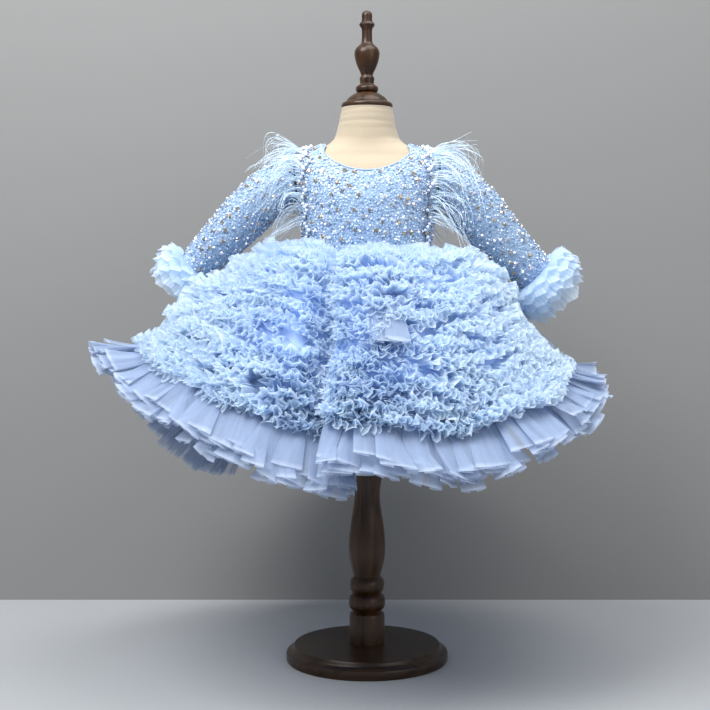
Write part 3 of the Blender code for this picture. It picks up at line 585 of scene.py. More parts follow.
beadFinish = tintFinish("Seed beads", tints["Seed beads"], 0.15, Coat_Weight=0.7)
pearlFinish = tintFinish("Pearls", tints["Pearls"], 0.2, Coat_Weight=0.6, Metallic=0.15)
crystalFinish = tintFinish("Crystals", tints["Crystals"], 0.16, Metallic=0.7, Coat_Weight=1.0)
featherFinish, _ = finish("Pale blue barbs", (0.72, 0.87, 1.0), 0.55, Sheen_Weight=0.3, Alpha=0.92)
print("dress: finishes ready")


# the turned wooden stand

turnings = {"sides": 72, "centre": (0.0, formSize(np.array(neckTop), 3).item())}

# radius and height, from the top down
baseOutline = (
    (0.0, 26.0), (112.0, 26.0), (116.5, 25.6), (118.2, 23.6), (119.0, 20.6), (121.4, 17.6),
    (126.0, 15.9), (129.0, 14.2), (130.0, 11.6), (130.0, 3.0), (129.2, 0.9), (127.6, 0.0), (0.0, 0.0),
)
poleProfile = (
    (26.3, 28.5), (70.0, 28.5), (74.5, 27.2), (77.0, 23.4), (78.5, 22.0), (80.2, 24.2), (83.0, 27.6),
    (88.0, 29.3), (92.0, 29.5), (98.0, 29.0), (103.0, 27.0), (105.6, 22.8), (107.0, 21.0), (109.0, 24.0),
    (112.5, 26.8), (120.5, 28.0), (128.0, 26.8), (132.0, 23.4), (134.0, 21.5), (139.0, 22.6),
    (146.0, 24.8), (156.0, 27.2), (166.0, 28.7), (178.0, 29.5), (187.0, 29.5), (200.0, 28.7),
    (212.0, 27.4), (225.0, 25.5), (238.0, 23.4), (250.0, 21.6), (262.0, 20.8), (274.0, 21.4),
    (286.0, 23.0), (296.0, 25.4), (303.0, 26.5), (304.6, 25.2), (306.0, 23.5), (307.6, 25.0),
    (311.0, 26.6), (314.0, 25.6), (317.0, 21.0), (319.0, 18.0), (479.7, 18.0),
)
capProfile = (
    (0.3, 40.3), (1.6, 41.4), (3.6, 41.6), (6.2, 41.0), (8.2, 39.2), (9.2, 36.0), (10.2, 34.2),
    (12.0, 33.2), (14.6, 31.6), (17.5, 28.6), (20.0, 24.8), (22.8, 20.8), (24.4, 17.4), (25.3, 15.5),
)
finialProfile = (
    (25.6, 15.5), (26.8, 17.2), (29.0, 18.2), (32.5, 18.2), (35.0, 16.8), (37.0, 13.2), (39.5, 11.2),
    (43.0, 11.4), (47.5, 12.1), (50.0, 11.4), (52.0, 9.6), (53.5, 9.4), (58.0, 11.2), (66.0, 15.0),
    (74.0, 18.0), (82.0, 19.9), (87.5, 20.5), (92.0, 20.1), (97.0, 17.6), (101.0, 13.2), (104.0, 10.0),
    (107.0, 8.9), (115.0, 8.3), (124.0, 8.3), (129.0, 8.9), (132.0, 11.4), (135.0, 12.7), (137.6, 11.4),
    (140.0, 8.8), (144.0, 8.3), (149.0, 8.6), (153.5, 8.0), (156.2, 5.6), (157.5, 2.4), (157.6, 0.0),
)


def turnPiece(name, outline, centre):  # an outline drawn point by point, then spun round the axis
    bpy.ops.object.select_all(action="DESELECT")
    bpy.ops.mesh.primitive_plane_add(size=0.01, location=(0.0, 0.0, 0.0))
    made = bpy.context.active_object
    made.name = name
    made.data.name = name
    bpy.ops.object.mode_set(mode="EDIT")
    bpy.ops.mesh.select_all(action="SELECT")
    bpy.ops.mesh.merge(type="CENTER")
    reach, height = outline[0]
    bpy.ops.transform.translate(value=(reach * mm, 0.0, height * mm))
    for nextReach, nextHeight in outline[1:]:
        step = ((nextReach - reach) * mm, 0.0, (nextHeight - height) * mm)
        bpy.ops.mesh.extrude_region_move(TRANSFORM_OT_translate={"value": step})
        reach, height = nextReach, nextHeight
    bpy.ops.mesh.select_all(action="SELECT")
    circle = {"angle": 2 * math.pi, "center": (0.0, 0.0, 0.0), "axis": (0.0, 0.0, 1.0)}
    bpy.ops.mesh.spin(steps=turnings["sides"], **circle)
    bpy.ops.mesh.select_all(action="SELECT")
    bpy.ops.mesh.remove_doubles(threshold=0.00002)
    bpy.ops.mesh.normals_make_consistent(inside=False)
    bpy.ops.transform.translate(value=(centre[0], centre[1], 0.0))
    bpy.ops.object.mode_set(mode="OBJECT")
    bpy.ops.object.shade_smooth()
    made.data.set_sharp_from_angle(angle=math.radians(38.0))
    return made


def outlineOf(profile, raised):
    rows = [(reach, raised + height) for height, reach in reversed(profile)]
    top = [] if rows[0][0] == 0.0 else [(0.0, rows[0][1])]
    return top + rows + [(0.0, rows[-1][1])]


neckHeight = neckTop / mm
for name, outline, centre, wood, node in (
    ("woodBase", baseOutline, (0.0, 0.0), boardWood, "stand_base"),
    ("woodPole", outlineOf(poleProfile, 0.0), (0.0, 0.0), poleWood, "stand_pole"),
    ("woodNeckCap", outlineOf(capProfile, neckHeight), turnings["centre"], poleWood, "neck_cap"),
    ("woodFinial", outlineOf(finialProfile, neckHeight), turnings["centre"], poleWood, "finial"),
):
    settle(turnPiece(name, outline, centre), wood, (node,))
print("dress: stand turned")


# the padded form

paddedForm = {
    "sides": 96, "rows": 100, "fill": 1.0, "low": 480.3, "closer": 790.0, "closerFrom": 0.55,
    "neckCreases": (  # height, depth and width
        (884.0, 0.9, 1.6), (876.0, 0.7, 2.0), (866.0, 0.8, 2.4), (853.0, 0.6, 3.0), (838.0, 0.5, 3.4),
    ),
}


def makeForm(name, sizes):
    shares = np.linspace(0.0, 1.0, sizes["rows"])
    places = (0.0, sizes["closerFrom"], 1.0)  # rows stand closer from here up, for the neck's creases
    heights = np.interp(shares, places, (sizes["low"] * mm, sizes["closer"] * mm, neckTop))
    angles = 2 * math.pi * np.arange(sizes["sides"]) / sizes["sides"]
    high, turn = np.meshgrid(heights, angles, indexing="ij")
    out = np.zeros_like(high)
    rng = np.random.default_rng(4)
    for height, depth, width in sizes["neckCreases"]:
        wander = softNoise(angles, 0.9, rng, 2 * math.pi) * 3.0
        strong = 0.55 + 0.45 * softNoise(angles, 1.2, rng, 2 * math.pi)
        out -= depth * mm * strong * np.exp(-(((high / mm - height - wander) / width) ** 2))
    points = offForm(turn, high, out)
    points[..., 0] = np.clip(points[..., 0], -armPlate, armPlate)
    flat = points.reshape(-1, 3)
    rows, sides = high.shape
    quads = gridFaces(rows, sides, True)
    made = keepMesh(name, flat, quads)
    selectOnly(made)
    bpy.ops.object.mode_set(mode="EDIT")
    bpy.ops.mesh.select_mode(type="EDGE")
    bpy.ops.mesh.select_all(action="DESELECT")
    bpy.ops.mesh.select_non_manifold()
    bpy.ops.mesh.edge_face_add()
    bpy.ops.mesh.select_all(action="SELECT")
    bpy.ops.mesh.normals_make_consistent(inside=False)
    bpy.ops.object.mode_set(mode="OBJECT")
    made.data.set_sharp_from_angle(angle=math.radians(45.0))
    return made


form = makeForm("jerseyForm", paddedForm)
settle(form, jersey, ("dress_form",))
print("dress: form covered")


# the skirt's base surface, read from a fine table

waistAngles = (-10.0, 0.0, 30.0, 338.0, 350.0, 357.0)
waistOuts = np.array((9.0, 8.0, 5.2, 5.2, 5.2, 5.2)) * mm
waistDrops = np.array((0.0, 0.0, 0.0, 0.0, 8.0, 9.0)) * mm
skirtRise, edgePull = 0.42, 100.0 * mm


def skirtValue(angle, place):
    return smoothBetween(angle, column(skirtTable, 0), column(skirtTable, place))


def skirtBase(angle, slope):
    turn = np.radians(angle)
    waistHeight = skirtWaist - np.interp(angle, waistAngles, waistDrops)
    waist = offForm(turn, waistHeight, np.interp(angle, waistAngles, waistOuts))
    waistReach = np.hypot(waist[..., 0], waist[..., 1])
    start = np.stack((waistReach, waistHeight), axis=-1)
    edge = np.stack((skirtValue(angle, 1), skirtValue(angle, 2)), axis=-1) * mm
    hem = np.stack((skirtValue(angle, 3), skirtValue(angle, 4)), axis=-1) * mm
    spring = skirtRise * (edge[..., 0] - waistReach)
    crown = start + np.stack((spring, skirtValue(angle, 5) * mm), axis=-1)
    shoulder = edge - unit(hem - edge) * edgePull
    t = np.clip(slope, 0.0, 1.0)[..., None]
    place = (1 - t) ** 3 * start + 3 * t * (1 - t) ** 2 * crown
    place = place + 3 * t**2 * (1 - t) * shoulder + t**3 * edge
    place = place + (hem - edge) * np.clip(slope - 1.0, 0.0, None)[..., None]
    plain = np.stack((np.sin(turn), -np.cos(turn)), axis=-1)
    share = np.minimum(1.0, slope / 0.6)[..., None]
    way = unit(unit(waist[..., :2]) * (1 - share) + plain * share)
    return np.concatenate((way * place[..., :1], place[..., 1:]), axis=-1)


tableAngles = np.linspace(firstAngle, lastAngle, 735)
tableSlopes = np.linspace(0.0, 2.2, 177)
slopeGrid, angleGrid = np.meshgrid(tableSlopes, tableAngles, indexing="ij")
skirtPoints = skirtBase(angleGrid, slopeGrid)
skirtDowns = unit(np.gradient(skirtPoints, axis=0))
skirtAlongs = unit(np.gradient(skirtPoints, axis=1))
skirtNormals = unit(np.cross(skirtDowns, skirtAlongs))


def readTable(table, turn, slope):
    x = np.clip(turn, 0.0, 1.0) * (len(tableAngles) - 1)
    y = np.clip(slope / tableSlopes[-1], 0.0, 1.0) * (len(tableSlopes) - 1)
    i = np.clip(np.floor(x).astype(int), 0, len(tableAngles) - 2)
    j = np.clip(np.floor(y).astype(int), 0, len(tableSlopes) - 2)
    a, b = (x - i)[..., None], (y - j)[..., None]
    return blend(table, j, i, b, a)


def skirtFrame(turn, slope):
    point = readTable(skirtPoints, turn, slope)
    normal = unit(readTable(skirtNormals, turn, slope))
    along = unit(readTable(skirtAlongs, turn, slope))
    return point, normal, along, np.cross(along, normal)


skirtGround = {"steps": 26, "wall": 0.8, "ridges": 26, "ridgeDepth": 2.2, "seam": 0.0004}


def makePanel(name, firstTurn, lastTurn, sizes, seed):
    rng = np.random.default_rng(seed)
    columns = int((lastTurn - firstTurn) * 300)
    turns = np.linspace(firstTurn, lastTurn, columns)
    slope, turn = np.meshgrid(np.linspace(0.0, 1.0, sizes["steps"]), turns, indexing="ij")
    point, normal, along, down = skirtFrame(turn, slope)
    rise = np.zeros_like(turn)
    for _ in range(sizes["ridges"]):  # soft folds that run down from the waist, uneven
        centre = rng.uniform(firstTurn, lastTurn)
        width = rng.uniform(0.002, 0.006)
        length = rng.uniform(0.4, 1.0)
        strong = rng.uniform(0.3, 1.0) * np.clip(length - slope, 0, 1)
        rise += strong * np.exp(-(((turn - centre) / width) ** 2))
    rise = np.minimum(rise, 1.4) * np.clip(slope * 12, 0, 1)
    cloth = Strips()
    lifted = point + normal * (0.9 * mm + rise[..., None] * sizes["ridgeDepth"] * mm * 0.4)
    cloth.add(lifted[:, ::-1])
    made = cloth.keep(name)
    thicken(made, sizes["wall"] * mm)
    return made, cloth


seamTurns = (0.0, 15 / 56, 29 / 56, 43 / 56, 1.0)
panelNodes = ("skirt_front_left", "skirt_back_left", "skirt_back_right", "skirt_front_right")
panelNames = ("groundFrontLeft", "groundBackLeft", "groundBackRight", "groundFrontRight")
for number, (name, node) in enumerate(zip(panelNames, panelNodes)):
    firstTurn = seamTurns[number] + skirtGround["seam"]
    lastTurn = seamTurns[number + 1] - skirtGround["seam"]
    panel, cloth = makePanel(name, firstTurn, lastTurn, skirtGround, 20 + number)
    settle(panel, lining, (node,))
print("dress: skirt ground laid")


# The skirt's frills: short gathered strips sewn on in many directions, row by row

frills = {
    "rows": 33, "firstSlope": 0.02, "lastSlope": 1.04, "pitch": 45.0, "length": 84.0, "depth": 33.0,
    "wave": 15.0, "swing": 7.6, "loop": 4.4, "points": 10, "steps": 3, "yaw": 15.0, "bow": 8.0,
    "lean": 15.0, "leanVaries": 13.0, "leanField": 5.0, "sideLean": 14.0, "endDepth": 0.8, "wander": 0.011,
    "jitter": 0.22, "lapStrips": 20, "lapDepth": 0.5, "lapTurn": 0.004, "lapYaw": (62.0, 96.0),
    "lengths": (0.75, 1.2), "waves": (0.85, 1.15), "crowding": (0.55, 1.5), "depths": (0.85, 1.12),
    "swings": (0.5, 1.35), "mostYaw": 62.0, "waistLean": 26.0, "leanLimits": (-38.0, 72.0), "droop": 0.14,
    "frontDip": 28.0, "lumpy": 0.26, "valley": 0.68, "valleyWide": 0.026,
    # angle and its spread, slope and its spread, share
    "bulges": ((82.0, 26.0, 0.42, 0.20, 0.85), (276.0, 26.0, 0.55, 0.22, 0.85)),
}


def lumpField(seed, across, down):  # a soft random field over the skirt, from -1 to 1
    rng = np.random.default_rng(seed)
    values = rng.uniform(-1.0, 1.0, (down + 3, across + 3))

    def read(turn, slope):
        x, y = np.clip(turn, 0, 1) * across, np.clip(slope / 1.1, 0, 1) * down
        i, j = np.floor(x).astype(int), np.floor(y).astype(int)
        a, b = x - i, y - j
        a, b = a * a * (3 - 2 * a), b * b * (3 - 2 * b)
        return blend(values, j, i, b, a)

    return read


lumps, leans, sideLeans = lumpField(1, 26, 6), lumpField(2, 30, 6), lumpField(3, 34, 7)


def skirtScale(turn, slope):  # metres for one whole turn and for one slope, at a place
    across = skirtFrame(turn + 0.002, slope)[0] - skirtFrame(turn - 0.002, slope)[0]
    down = skirtFrame(turn, slope + 0.01)[0] - skirtFrame(turn, slope - 0.01)[0]
    return np.linalg.norm(across) / 0.004, np.linalg.norm(down) / 0.02


def makeFrillStrip(strips, turnHere, slopeHere, sizes, rng, upright=False):
    here = np.array(turnHere), np.array(slopeHere)
    perTurn, perSlope = skirtScale(*here)
    full = float(skirtValue(firstAngle + (lastAngle - firstAngle) * here[0], 6))
    length = sizes["length"] * mm * rng.uniform(*sizes["lengths"])
    waves = max(4, int(round(length / (sizes["wave"] * mm * rng.uniform(*sizes["waves"])))))
    sequence = np.linspace(0.0, waves, waves * sizes["points"] + 1)
    knots = np.arange(waves + 1)
    ends = np.concatenate(([0.0], np.cumsum(rng.uniform(*sizes["crowding"], waves))))
    run = np.interp(sequence, knots, ends / ends[-1]) - 0.5
    yaw = math.radians(np.clip(rng.normal(0.0, sizes["yaw"]), -sizes["mostYaw"], sizes["mostYaw"]))
    if upright:
        yaw = math.radians(rng.uniform(*sizes["lapYaw"]))
    bow = rng.uniform(-1.0, 1.0) * sizes["bow"] * mm
    across = length * run * math.cos(yaw) - bow * (4 * run**2 - 0.5) * math.sin(yaw)
    fall = length * run * math.sin(yaw) + bow * (4 * run**2 - 0.5) * math.cos(yaw)
    turn, slope = here[0] + across / perTurn, here[1] + fall / perSlope
    turn = turn + max(0.0, 0.0005 - turn.min()) - max(0.0, turn.max() - 0.9995)
    slope = np.clip(slope, 0.012, 1.07)
    point, normal, along, down = skirtFrame(turn, slope)
    way = unit(along * math.cos(yaw) + down * math.sin(yaw))
    across = unit(np.cross(way, normal))
    across = across * np.sign(np.sum(across * down, axis=-1))[:, None]
    waist = math.exp(-slopeHere / 0.08)
    angle = firstAngle + (lastAngle - firstAngle) * turn
    front = np.minimum(np.abs(angle + 4.0), np.abs(angle - 356.0))
    dip = np.exp(-((front / sizes["frontDip"]) ** 2)) * math.exp(-slopeHere / 0.10)
    shape = (1 - sizes["endDepth"]) * np.sin(math.pi * (run + 0.5)) ** 0.7 + sizes["endDepth"]
    depth = sizes["depth"] * mm * (0.25 + 0.75 * full) * rng.uniform(*sizes["depths"])
    depth = depth * (1 + sizes["lumpy"] * lumps(turn, slope)) * shape
    depth = depth * (1 + 0.07 * softNoise(sequence, 1.3, rng)) * (1 - 0.2 * waist) * (1 - 0.5 * dip)
    for bulgeAngle, angleSpread, bulgeSlope, slopeSpread, share in sizes["bulges"]:
        near = ((angle - bulgeAngle) / angleSpread) ** 2 + ((slope - bulgeSlope) / slopeSpread) ** 2
        depth = depth * (1 + share * np.exp(-near))
    depth = depth * (1 - sizes["valley"] * np.exp(-(((1 - turn) / sizes["valleyWide"]) ** 2)))
    if upright:
        depth = depth * sizes["lapDepth"]
    flatter = sizes["waistLean"]
    lean = sizes["lean"] + flatter * waist + flatter * dip + rng.normal(0.0, sizes["leanVaries"])
    lean = lean + 10.0 * softNoise(sequence, 2.2, rng)
    lean = np.radians(np.clip(lean + sizes["leanField"] * leans(turn, slope), *sizes["leanLimits"]))
    aside = np.radians(rng.normal(0.0, sizes["sideLean"]) + sizes["sideLean"] * sideLeans(turn, slope))
    stand = normal * np.cos(lean)[:, None] + across * np.sin(lean)[:, None] + way * np.sin(aside)[:, None]
    stand = unit(stand)
    sway = unit(np.cross(way, stand))
    phase = 2 * math.pi * sequence
    swings = rng.uniform(*sizes["swings"], waves + 1)
    swing = np.interp(sequence, knots, swings) * sizes["swing"] * mm * full**0.5
    curl = rng.uniform(0.0, 6.28)
    rows = []
    for q in np.linspace(0.0, 1.0, sizes["steps"] + 1) ** 0.85:
        bend = np.sin(phase) + 0.4 * q * np.sin(2.62 * phase + curl)
        offset = sway * (swing * q**0.7 * bend)[:, None]
        slide = way * (sizes["loop"] * mm * q**0.8 * np.sin(2 * phase + 0.5 * curl))[:, None]
        droop = down * (depth * sizes["droop"] * q * q)[:, None]
        rows.append(point + normal * 1.2 * mm + stand * (depth * q)[:, None] + offset + slide + droop)
    strips.add(np.array(rows))


frillGroups = ("frillsWaist", "frillsUpper", "frillsMiddle", "frillsLower", "frillsEdge")
frillSlopes = np.linspace(frills["firstSlope"], frills["lastSlope"], frills["rows"])
turns = np.linspace(0.0, 1.0, 400)
rowRuns = []
for slopeHere in frillSlopes:
    line = skirtFrame(turns, np.full_like(turns, slopeHere))[0]
    rowRuns.append(runAlong(line))
rowEnds = np.cumsum([run[-1] for run in rowRuns])
rowGroups = np.clip(((rowEnds - 0.5 * rowEnds[0]) / rowEnds[-1] * 5).astype(int), 0, 4)
print("dress: frill rows run", round(rowEnds[-1], 1), "m in all")
frillRandom = np.random.default_rng(100)
for number, name in enumerate(frillGroups):
    strips = Strips()
    for row in np.flatnonzero(rowGroups == number):
        slopeHere, run = frillSlopes[row], rowRuns[row]
        count = max(6, int(run[-1] / (frills["pitch"] * mm)))
        for k in range(count):
            place = (k + 0.5 + frillRandom.uniform(-frills["jitter"], frills["jitter"])) / count
            slopeThere = slopeHere + frillRandom.uniform(-1.0, 1.0) * frills["wander"]
            turnThere = float(np.interp(place * run[-1], run, turns))
            makeFrillStrip(strips, turnThere, max(0.015, slopeThere), frills, frillRandom)
    lapSlopes = np.linspace(number / 5 + 0.03, number / 5 + 0.2, frills["lapStrips"] // 5)
    for slopeThere in lapSlopes:  # down the lap's edge
        makeFrillStrip(strips, frills["lapTurn"], slopeThere, frills, frillRandom, True)
    piece = strips.keep(name)
    settle(piece, frillTulle, (f"ruffle_row_{number + 1}",))


# The hem: layers of flat box pleats, each with its own lie

hemPleats = {
    "under": ((0.95, 2.02, 1.5, 38.0), (0.94, 1.96, 5.0, 36.0)),  # root, end, lift, width of a pleat
    "top": ((0.90, 1.94, 9.0, 48.0), (0.84, 1.83, 15.0, 50.0)),
    "steps": 8, "deep": 3.6, "lifted": 27.0, "uneven": 0.075, "skew": 12.0, "roll": 11.0,
    "gathered": 0.6, "overlap": 0.76, "widths": (0.7, 1.25), "shift": 0.25, "stagger": 1.2,
}
# across a pleat from tuck to tuck, and the height there
pleatCut = np.array((
    (-0.12, -1.0), (-0.32, -0.85), (-0.47, -0.6), (-0.5, -0.2), (-0.47, 0.1), (-0.26, 0.6), (0.0, 0.75),
    (0.26, 0.6), (0.47, 0.1), (0.5, -0.2), (0.47, -0.6), (0.32, -0.85), (0.12, -1.0),
))


def makePleats(strips, layer, sizes, seed, firstTurn=0.0, lastTurn=1.0):
    root, end, lift, width = layer
    rng = np.random.default_rng(seed)
    coarse = np.linspace(firstTurn, lastTurn, 800)
    line = skirtFrame(coarse, np.full_like(coarse, end))[0]
    run = runAlong(line)
    count = max(2, int(run[-1] / (width * mm * sizes["overlap"])))  # pleats round the layer
    q = np.linspace(0.0, 1.0, sizes["steps"] + 1)[:, None]
    for k in range(count):
        place = (k + 0.5 + rng.uniform(-sizes["shift"], sizes["shift"])) / count
        middle = float(np.interp(place * run[-1], run, coarse))
        wide = width * mm * rng.uniform(*sizes["widths"])
        longer = rng.uniform(-1.0, 1.0) * sizes["uneven"]
        rise = rng.uniform(0.0, 1.0) ** 1.6 * sizes["lifted"] * mm
        skew = math.tan(math.radians(rng.normal(0.0, sizes["skew"])))
        roll = rng.uniform(-1.0, 1.0) * sizes["roll"] * mm
        perTurn, perSlope = skirtScale(np.array(middle), np.array(end * 0.95))
        half = wide / 2 / perTurn
        middle = min(max(middle, firstTurn + half), lastTurn - half)
        full = math.sqrt(float(skirtValue(firstAngle + (lastAngle - firstAngle) * np.array(middle), 6)))
        across = pleatCut[None, :, 0] * wide * (sizes["gathered"] + (1 - sizes["gathered"]) * q)
        slope = root + (end - root) * (1 + longer) * q + 0 * across
        slope = slope - 0.018 * q * (2 * pleatCut[None, :, 0]) ** 2
        slide = skew * (end - root) * perSlope * q
        turn = np.clip(middle + (across + slide) / perTurn, 0.0003, 0.9997)
        point, normal, along, down = skirtFrame(turn, np.clip(slope, 0.0, 2.17))
        fold = pleatCut[None, :, 1] * sizes["deep"] * mm * (0.5 + 0.5 * q)
        out = 1.8 * mm + lift * mm * full * q**0.6 + fold
        rolled = 2 * roll * pleatCut[None, :, 0] * q**1.5
        out = out + rise * q**2 * full + rolled + sizes["stagger"] * mm * (k % 3)
        strips.add(point + normal * np.maximum(out, 0.6 * mm)[..., None])


strayPleats = {"layer": (0.45, 0.71, 29.0, 40.0), "turns": (0.022, 0.060)}
strayLie = dict(hemPleats, skew=5.0, roll=4.0, uneven=0.03, gathered=0.85, lifted=8.0)

for name, node, place, seed in (
    ("hemPleatsUnder", "hem_ruffle_under", "under", 300),
    ("hemPleatsTop", "hem_ruffle_top", "top", 330),
):
    strips = Strips()
    for number, layer in enumerate(hemPleats[place]):
        makePleats(strips, layer, hemPleats, seed + number)
    if place == "top":  # a few pleats that come out between the frills, right of the middle
        firstTurn, lastTurn = strayPleats["turns"]
        makePleats(strips, strayPleats["layer"], strayLie, 350, firstTurn, lastTurn)
    piece = strips.keep(name)
    # the hem pleats wear the darkened net, painted shade
    settle(piece, shadedHemTulle, (node,))


# the bodice


def frontAngleAt(side, height):  # the angle at which the form is so far out, found by halving
    small, large = np.zeros_like(height), np.full_like(height, math.pi / 2)
    for _ in range(26):
        middle = (small + large) / 2
        within = formPoint(middle, height)[..., 0] < side
        small, large = np.where(within, middle, small), np.where(within, large, middle)
    return small


def bodiceSideAngle(height):
    low, high = armholeLow, armholeHigh
    side = np.interp(height, (low[0], high[0]), (low[1], high[1])) - clothOffForm
    inside = (height > low[0] + 1e-6) & (height < high[0] - 1e-6)
    seam = math.pi / 2 - math.radians(0.12)
    return np.where(inside, np.minimum(frontAngleAt(side, height), seam), seam)


bodiceRowCount = len(bodiceRows)


def bodiceGrid(row, across, place):  # the angle from the panel's middle, and the height
    rows = np.arange(bodiceRowCount)
    edge = np.interp(row, rows, column(bodiceRows, 0)) * mm
    middle = np.interp(row, rows, column(bodiceRows, place)) * mm
    rise = 1 - (1 - across**2) ** 7
    return bodiceSideAngle(edge) * across, middle + (edge - middle) * rise


bodiceSizes = {
    "rows": 66, "columns": 84, "wall": 0.8,
    "frontCreases": (  # turn and height of both ends, width, depth
        (-0.9, 0.655, 0.3, 0.640, 4.0, 1.0), (0.2, 0.662, 1.2, 0.648, 3.5, 0.9),
        (-1.3, 0.735, -0.7, 0.715, 4.0, 0.9), (1.3, 0.738, 0.8, 0.712, 4.0, 0.9),
        (-0.5, 0.690, 0.1, 0.684, 6.0, 0.7), (0.1, 0.708, 0.7, 0.700, 6.0, 0.6),
    ),
}


def necklineHeight(turn):
    front = np.abs(turn) < math.pi / 2
    across = np.where(front, np.abs(turn), math.pi - np.abs(turn)) / (math.pi / 2)
    low = np.where(front, neckline["front"], neckline["back"])
    return low + (neckline["side"] - low) * (1 - (1 - across**2) ** neckline["roundness"])


def creaseRise(turn, height, creases):  # soft troughs between two points of a panel, in metres
    rise = np.zeros_like(turn)
    for turnA, heightA, turnB, heightB, width, depth in creases:
        ax, ay = turnA * bodiceRound, heightA
        dx, dy = (turnB - turnA) * bodiceRound, heightB - heightA
        px, py = turn * bodiceRound - ax, height - ay
        t = np.clip((px * dx + py * dy) / (dx * dx + dy * dy), 0, 1)
        away = np.hypot(px - t * dx, py - t * dy) / (width * mm)
        taper = np.sin(np.pi * np.clip(t, 0.04, 0.96)) ** 0.6
        trough, lip = np.exp(-away**2), np.exp(-((away - 1.8) ** 2))
        rise -= depth * mm * taper * trough - 0.5 * depth * mm * taper * lip
    return rise


def makeBodicePanel(name, place, side, creases):
    rows = np.linspace(0.0, bodiceRowCount - 1, bodiceSizes["rows"])
    if side == 0:
        across = np.linspace(-1.0, 1.0, bodiceSizes["columns"])
    else:
        across = np.linspace(0.0013, 1.0, bodiceSizes["columns"] // 2)
    row, across = np.meshgrid(rows, across, indexing="ij")
    turn, height = bodiceGrid(row, across, place)
    if side != 0:
        turn = side * (math.pi - turn)
    rise = creaseRise(turn, height, creases)
    grid = offForm(turn, height, clothOffForm + 1.0 * mm + rise)
    if side > 0:
        grid = grid[:, ::-1]
    cloth = Strips()
    cloth.add(grid)
    made = cloth.keep(name)
    thicken(made, bodiceSizes["wall"] * mm)
    return made


for name, node, place, side, creases in (
    ("bodiceFront", "bodice_front", 1, 0, bodiceSizes["frontCreases"]),
    ("bodiceBackLeft", "bodice_back_left", 2, 1, ((2.0, 0.650, 2.8, 0.640, 4.0, 0.9),)),
    ("bodiceBackRight", "bodice_back_right", 2, -1, ((-2.0, 0.652, -2.8, 0.643, 4.0, 0.9),)),
):
    piece = makeBodicePanel(name, place, side, creases)
    settle(piece, bodiceCloth, (node,))
print("dress: bodice cut")


# the sleeves

sleeveSizes = {
    "rowsEach": 8, "sides": 64, "wall": 0.8, "rightSize": 0.92, "puckers": 34, "puckerDepth": 1.3,
}


def evenly(loop, count):
    closed = np.vstack((loop, loop[:1]))
    lengths = runAlong(closed)
    wanted = np.linspace(0.0, lengths[-1], count, endpoint=False)
    return np.stack([np.interp(wanted, lengths, closed[:, k]) for k in range(3)], axis=-1)


def armholeRing(out):
    rows = np.arange(4, 13, dtype=float)
    frontTurn, frontHeight = bodiceGrid(rows, np.ones_like(rows), 1)
    backTurn, backHeight = bodiceGrid(rows[::-1], np.ones_like(rows), 2)
    front = offForm(frontTurn, frontHeight, np.full_like(rows, out))
    back = offForm(math.pi - backTurn, backHeight, np.full_like(rows, out))
    return evenly(np.vstack((front, back[1:-1])), 16)


def armAxis(sideName):
    out, up = (0, 1) if sideName == "left" else (2, 3)
    centres = np.stack([column(sleeveSections, place) for place in (out, 4, up)], axis=-1) * mm
    return centres, unit(np.gradient(centres, axis=0))


def armFrame(along):
    back = unit(np.array((0.0, 1.0, 0.0)) - along * along[1])
    high = np.cross(back, along)
    return (high if high[2] > 0 else -high), back


def sleeveRings(sideName):
    size = sleeveSizes["rightSize"] if sideName == "right" else 1.0
    rings = [armholeRing(clothOffForm + 2.5 * mm) + np.array((1.6 * mm, 0.0, 0.0))]
    centres, ways = armAxis(sideName)
    bend = np.minimum(1.0, np.arange(1, len(centres) + 1) / 3)[:, None]
    ways = unit(ways * bend + np.array((1.0, 0.0, 0.0)) * (1 - bend))
    turn = 2 * math.pi * np.arange(16)[:, None] / 16
    halfHighs, halfDeeps = column(sleeveSections, 5) * mm * size, column(sleeveSections, 6) * mm * size
    for centre, along, halfHigh, halfDeep in zip(centres, ways, halfHighs, halfDeeps):
        high, back = armFrame(along)
        rings.append(centre - high * np.cos(turn) * halfHigh - back * np.sin(turn) * halfDeep)
    return np.array(rings)


def finer(grid, rowsEach, sides):  # a smooth surface through rings of points
    def through(p, q, r, s, t):  # a smooth curve from q to r
        square, cube = 2 * p - 5 * q + 4 * r - s, 3 * q - p - 3 * r + s
        return 0.5 * (2 * q + (r - p) * t + square * t**2 + cube * t**3)

    count = grid.shape[1]
    place = np.arange(sides) / sides * count
    i = np.floor(place).astype(int)
    t = (place - i)[None, :, None]
    rounder = through(*(grid[:, (i + k) % count] for k in (-1, 0, 1, 2)), t)
    rows = np.linspace(0, len(grid) - 1, (len(grid) - 1) * rowsEach + 1)
    j = np.clip(np.floor(rows).astype(int), 0, len(grid) - 2)
    u = (rows - j)[:, None, None]
    return through(*(rounder[np.clip(j + k, 0, len(grid) - 1)] for k in (-1, 0, 1, 2)), u)


def ringNormals(grid):
    circling = np.roll(grid, -1, axis=1) - np.roll(grid, 1, axis=1)
    down = np.gradient(grid, axis=0)
    normals = unit(np.cross(circling, down))
    centres = grid.mean(axis=1, keepdims=True)
    return normals * np.sign(np.sum(normals * (grid - centres), axis=-1).mean())


